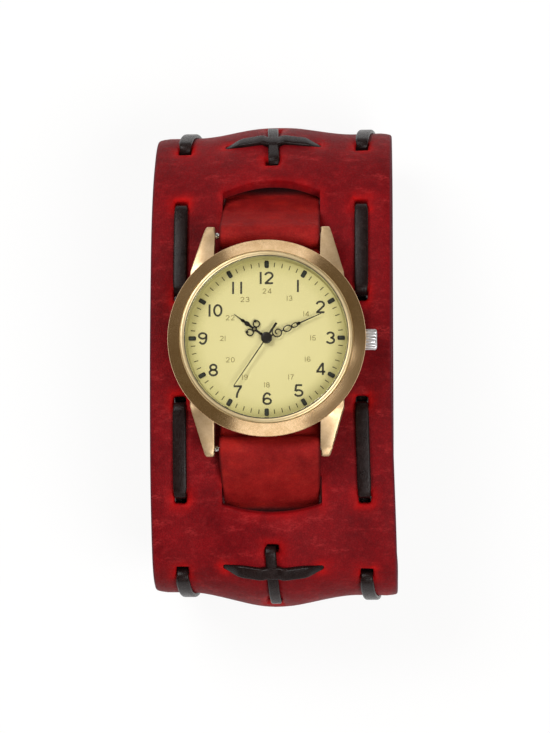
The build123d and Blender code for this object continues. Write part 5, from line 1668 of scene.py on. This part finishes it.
@dataclass
class Hands:
    """The three hands, pierced and scrolled, in black lacquer."""

    head: Head
    thickness: float = 0.13
    line: float = 0.3
    hour_angle: float = 306.4
    minute_angle: float = 66.0
    second_angle: float = 214.1
    boss: float = 1.18
    hour_length: float = 8.3
    minute_length: float = 12.4
    second_length: float = 12.0
    second_tail: float = 3.7

    def ring(self, x: float, y: float, radius: float, line: float, long_share: float = 1.0) -> Shape:
        """A small pierced ring, drawn out along the hand by a share."""
        half, rise = line / 2, self.thickness
        profile = [(radius - half, 0), (radius + half, 0), (radius + half, rise * 0.6),
                   (radius, rise), (radius - half, rise * 0.6)]
        return lathe(profile, 40).stretch(y=long_share).move(x, y)

    def leaf(self, y: float, length: float, width: float) -> Shape:
        """A pointed leaf across the hand."""
        shares = [turn / 10 for turn in range(11)]
        right = [(width / 2 * math.sin(math.pi * share), y + length * (share - 0.5)) for share in shares]
        left = [(-x, height) for x, height in right[-2:0:-1]]
        return plate(right + left, self.thickness, self.thickness / 4)

    def needle(self, start: float, end: float, wide: float, slim: float) -> Shape:
        """A tapering stretch of the hand."""
        outline = [(-wide / 2, start), (wide / 2, start), (slim / 2, end), (-slim / 2, end)]
        return plate(outline, self.thickness, self.thickness / 4)

    def disc(self, radius: float, height: float) -> Shape:
        """The round boss in the middle, domed at its rim."""
        rim = min(0.12, height / 2)
        return lathe([(0, 0), (radius, 0), (radius, height - rim), (radius - rim / 3, height - rim / 3),
                      (radius - rim, height), (0, height)], 64)

    def scroll(self, x: float, y: float, radius: float, turns: float, start: float, line: float) -> Shape:
        """A spiral curl.

        Args:
            x: The curl's middle across the hand.
            y: Its middle along the hand.
            radius: Its outer radius.
            turns: How many turns it makes inwards.
            start: The angle where it starts, in degrees.
            line: How wide its line is.

        Returns:
            The curl.
        """
        count = round(36 * turns)
        points = []
        for step in range(count + 1):
            share = step / count
            angle = math.radians(start) + 2 * math.pi * turns * share
            reach = radius * (1 - 0.72 * share)
            points.append(Vector((x + reach * math.cos(angle), y + reach * math.sin(angle),
                                  self.thickness / 2)))
        steps = range(len(points))
        sides = [(points[min(step + 1, count)] - points[max(step - 1, 0)]).cross(Vector((0, 0, 1))).normalized()
                 for step in steps]
        return ribbon(points, sides, lambda share: line, self.thickness, self.thickness / 4, "scroll")

    def place(self, name: str, parts: Sequence[Shape], angle: float, node: str, body: str,
              finish: Finish) -> None:
        """Joins a hand's parts and sets it at its clock angle over the dial."""
        made = Shape(name)
        for part in parts:
            made.add(part)
        made.turn(-math.radians(angle)).move(*self.head.centre(node_box(node)[0].z))
        made.finish(finish, body, [node], "hand_black", sharp=math.radians(30))

    def hour(self) -> None:
        """The hour hand: three rings in a trefoil, then two diamonds and a fine tip."""
        low = node_box("hour_hand")[0].z
        tube = self.head.dial_top + 0.35 - low
        parts = [self.disc(self.boss * 0.97, self.thickness).move(z=tube),
                 lathe([(0.45, 0), (0.7, 0), (0.7, tube + 0.02), (0.45, tube + 0.02)], 40)]
        flat = [self.needle(0.9, 2.9, 0.56, 0.44), self.ring(0, 3.12, 0.4, 0.28),
                self.ring(-1.1, 3.42, 0.66, 0.26), self.ring(1.1, 3.42, 0.66, 0.26),
                self.disc(0.3, self.thickness).move(-1.42, 3.98), self.disc(0.3, self.thickness).move(1.42, 3.98),
                self.needle(3.4, 4.6, 0.42, 0.5), self.leaf(5.0, 1.7, 0.98), self.leaf(6.05, 1.3, 0.66),
                self.needle(5.3, self.hour_length, 0.36, 0.14)]
        self.place("hour_hand_lacquered", parts + [part.move(z=tube) for part in flat], self.hour_angle,
                   "hour_hand", "hours", BLACK_LACQUER)

    def minute(self) -> None:
        """The minute hand: a scroll, two pierced ovals, a diamond and a long fine tip."""
        parts = [self.disc(self.boss * 0.97, self.thickness), self.needle(0.9, 1.7, 0.34, 0.3),
                 self.scroll(-0.1, 2.55, 1.16, 1.3, 215, 0.26), self.needle(3.4, 3.95, 0.3, 0.26),
                 self.ring(0, 4.7, 0.6, 0.22, 1.4), self.needle(5.4, 5.75, 0.28, 0.28),
                 self.ring(0, 6.36, 0.42, 0.2, 1.6), self.leaf(7.25, 1.2, 0.7),
                 self.needle(7.0, self.minute_length, 0.3, 0.14)]
        self.place("minute_hand_lacquered", parts, self.minute_angle, "minute_hand", "minutes",
                   BLACK_LACQUER)

    def second(self) -> None:
        """The seconds hand: a fine needle, a stouter tail and a round cap."""
        parts = [self.needle(0.5, self.second_length, 0.26, 0.16),
                 self.needle(-self.second_tail, -0.5, 0.52, 0.34), self.disc(1.15, 0.28)]
        self.place("second_hand_lacquered", parts, self.second_angle, "second_hand", "seconds",
                   BLACK_LACQUER)

    def build(self) -> None:
        """Makes all three hands."""
        self.hour()
        self.minute()
        self.second()


class Inside:
    """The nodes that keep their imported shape: the movement, the case's small parts and the snaps."""

    def __init__(self, head: Head) -> None:
        """Lists the nodes that each finish goes on."""
        back = Metal("back_steel", bright=(206, 204, 198), dull=(170, 168, 162), rough=(0.2, 0.32),
                     brushing=Brushing.ROUND, line=0.14, depth=0.003, centre=head.centre(0.0))
        bars = [f"spring_bar_{part}_{side.name.lower()}" for side in Side for part in ("tube", "spring")]
        bars += [f"spring_bar_tip_{side.name.lower()}_{hand}" for side in Side for hand in ("left", "right")]
        self.finishes: list[tuple[Finish, list[str]]] = [
            (back, ["case_back"]),
            (RUBBER, ["case_back_gasket", "glass_gasket", "crown_gasket"]),
            (STEEL, ["crown_tube", "stem", "sliding_pinion", "setting_lever", "quartz_can", "cannon_pinion",
                     "battery_clip", *bars]),
            (NYLON, ["holder_ring"]),
            (PLATE_BRASS, ["main_plate"]),
            (BRIDGE_NICKEL, ["train_bridge"]),
            (BRASS, ["fourth_wheel", "third_wheel", "centre_wheel", "intermediate_wheel", "minute_wheel",
                     "hour_wheel", "setting_wheel"]),
            (MAGNET, ["rotor"]),
            (IRON, ["stator", "coil_core"]),
            (COPPER_WIRE, ["coil"]),
            (BOARD, ["circuit_board"]),
            (CELL, ["battery"]),
            (SNAP, ["snap_caps", "snap_sockets", "snap_studs", "snap_rivets"]),
        ]

    def build(self) -> None:
        """Gives each node its finish."""
        for finish, names in self.finishes:
            for name in names:
                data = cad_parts[name].data
                data.materials.clear()
                data.materials.append(finish.material())
            log.info("%s: %s", finish.name, ", ".join(names))


@dataclass
class Studio:
    """The white floor, the soft lights and the camera at the photograph's angle."""

    head: Head
    distance: float = 700.0
    lens: float = 166.4
    from_below: float = 7.0
    from_right: float = 2.5
    dial_pixel: Point = (266.8, 338.4)
    picture: Point = (550.0, 733.0)
    pixel: float = 0.2065
    floor: float = 3000.0
    floor_gap: float = 0.03

    def lamp(self, name: str, place: tuple[float, float, float], size: Point, watts: float,
             colour: Colour = (255, 255, 255)) -> None:
        """Hangs one soft lamp that faces the dial.

        Args:
            name: The lamp's name.
            place: Where it hangs, from the dial's centre.
            size: Its width and height.
            watts: Its power.
            colour: Its colour.
        """
        data = bpy.data.lights.new(name, "AREA")
        data.shape, data.size, data.size_y, data.energy = "RECTANGLE", size[0] * MM, size[1] * MM, watts
        data.color = linear(colour)[:3]
        made = bpy.data.objects.new(name, data)
        bpy.context.scene.collection.objects.link(made)
        made.location = (Vector(self.head.centre(self.head.dial_top)) + Vector(place)) * MM
        made.rotation_euler = Vector(place).to_track_quat("Z", "Y").to_euler()

    def camera(self) -> None:
        """Sets the camera so that the dial's centre falls on its pixel."""
        right_turn, below_turn = math.radians(self.from_right), math.radians(self.from_below)
        back = Vector((math.sin(right_turn), -math.sin(below_turn), math.cos(right_turn))).normalized()
        right = Vector((0, 1, 0)).cross(back).normalized()
        up = back.cross(right)
        off_x = (self.picture[0] / 2 - self.dial_pixel[0]) * self.pixel
        off_y = (self.dial_pixel[1] - self.picture[1] / 2) * self.pixel
        aim = Vector(self.head.centre(self.head.dial_top)) + right * off_x + up * off_y
        data = bpy.data.cameras.new("camera")
        data.lens, data.sensor_width = self.lens, 36.0
        data.clip_start, data.clip_end = 0.01, 20.0
        made = bpy.data.objects.new("camera", data)
        bpy.context.scene.collection.objects.link(made)
        turned = Matrix((right, up, back)).transposed().to_4x4()
        made.matrix_world = Matrix.Translation((aim + back * self.distance) * MM) @ turned
        bpy.context.scene.camera = made

    def ground(self) -> None:
        """Lays the white floor, which keeps a soft shadow."""
        made = Shape("floor")
        bmesh.ops.create_grid(made.mesh, x_segments=1, y_segments=1, size=self.floor)
        paper = bpy.data.materials.new("white_paper")
        paper.use_nodes = True
        w = Wiring(paper.node_tree)
        shader = paper.node_tree.nodes["Principled BSDF"]
        shader.inputs["Base Color"].default_value = (0.95, 0.95, 0.95, 1)
        shader.inputs["Roughness"].default_value = 0.9
        shader.inputs["Specular IOR Level"].default_value = 0.0
        path = w.node("ShaderNodeLightPath")
        through = w.math("MAXIMUM", path.outputs["Is Glossy Ray"], path.outputs["Is Transmission Ray"])
        seen = w.math("MAXIMUM", path.outputs["Is Camera Ray"], through)
        shade = w.math("MULTIPLY", seen, 0.88)
        white = w.node("ShaderNodeEmission", Color=(1, 1, 1, 1), Strength=1.0)
        both = w.node("ShaderNodeMixShader")
        for socket, value in zip(both.inputs, (shade, shader.outputs[0], white.outputs[0])):
            w.set(socket, value)
        clear = w.node("ShaderNodeBsdfTransparent")
        below = w.node("ShaderNodeNewGeometry")
        lower = w.node("ShaderNodeMixShader")
        for socket, value in zip(lower.inputs, (below.outputs["Backfacing"], both.outputs[0], clear.outputs[0])):
            w.set(socket, value)
        w.set(w.tree.nodes["Material Output"].inputs["Surface"], lower.outputs[0])
        data = bpy.data.meshes.new("floor")
        made.move(z=-self.floor_gap).stretch(MM, MM, MM).mesh.to_mesh(data)
        data.materials.append(paper)
        floor = bpy.data.objects.new("floor", data)
        bpy.context.scene.collection.objects.link(floor)

    def build(self) -> None:
        """Sets the floor, the lights, the world and the camera."""
        self.ground()
        self.lamp("key", (-440, 420, 760), (520, 460), 6.4)
        self.lamp("fill", (430, -420, 760), (520, 460), 6.2)
        self.lamp("side", (720, -60, 640), (160, 420), 0.5)
        self.lamp("upper", (0, 840, 240), (760, 300), 0.65)
        self.lamp("lower", (0, -820, 400), (760, 300), 0.8)
        world = bpy.data.worlds.new("studio")
        world.use_nodes = True
        world.node_tree.nodes["Background"].inputs["Color"].default_value = (0.125, 0.1, 0.06, 1)
        bpy.context.scene.world = world
        bpy.context.scene.view_settings.view_transform = "Standard"
        self.camera()


def write_sizes() -> None:
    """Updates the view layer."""
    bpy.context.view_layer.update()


def main() -> None:
    """Builds the watch from the cuff outwards, then the studio round it."""
    logging.basicConfig(level=logging.INFO, format="%(name)s %(message)s")
    cuff, head = Cuff(), Head()
    for part in (CuffLeather(cuff), Strap(cuff, head), Laces(cuff), Case(head), Dial(head), Hands(head),
                 Inside(head), Studio(head)):
        log.info("building %s", type(part).__name__)
        part.build()
    write_sizes()


if __name__ == "__main__":
    main()
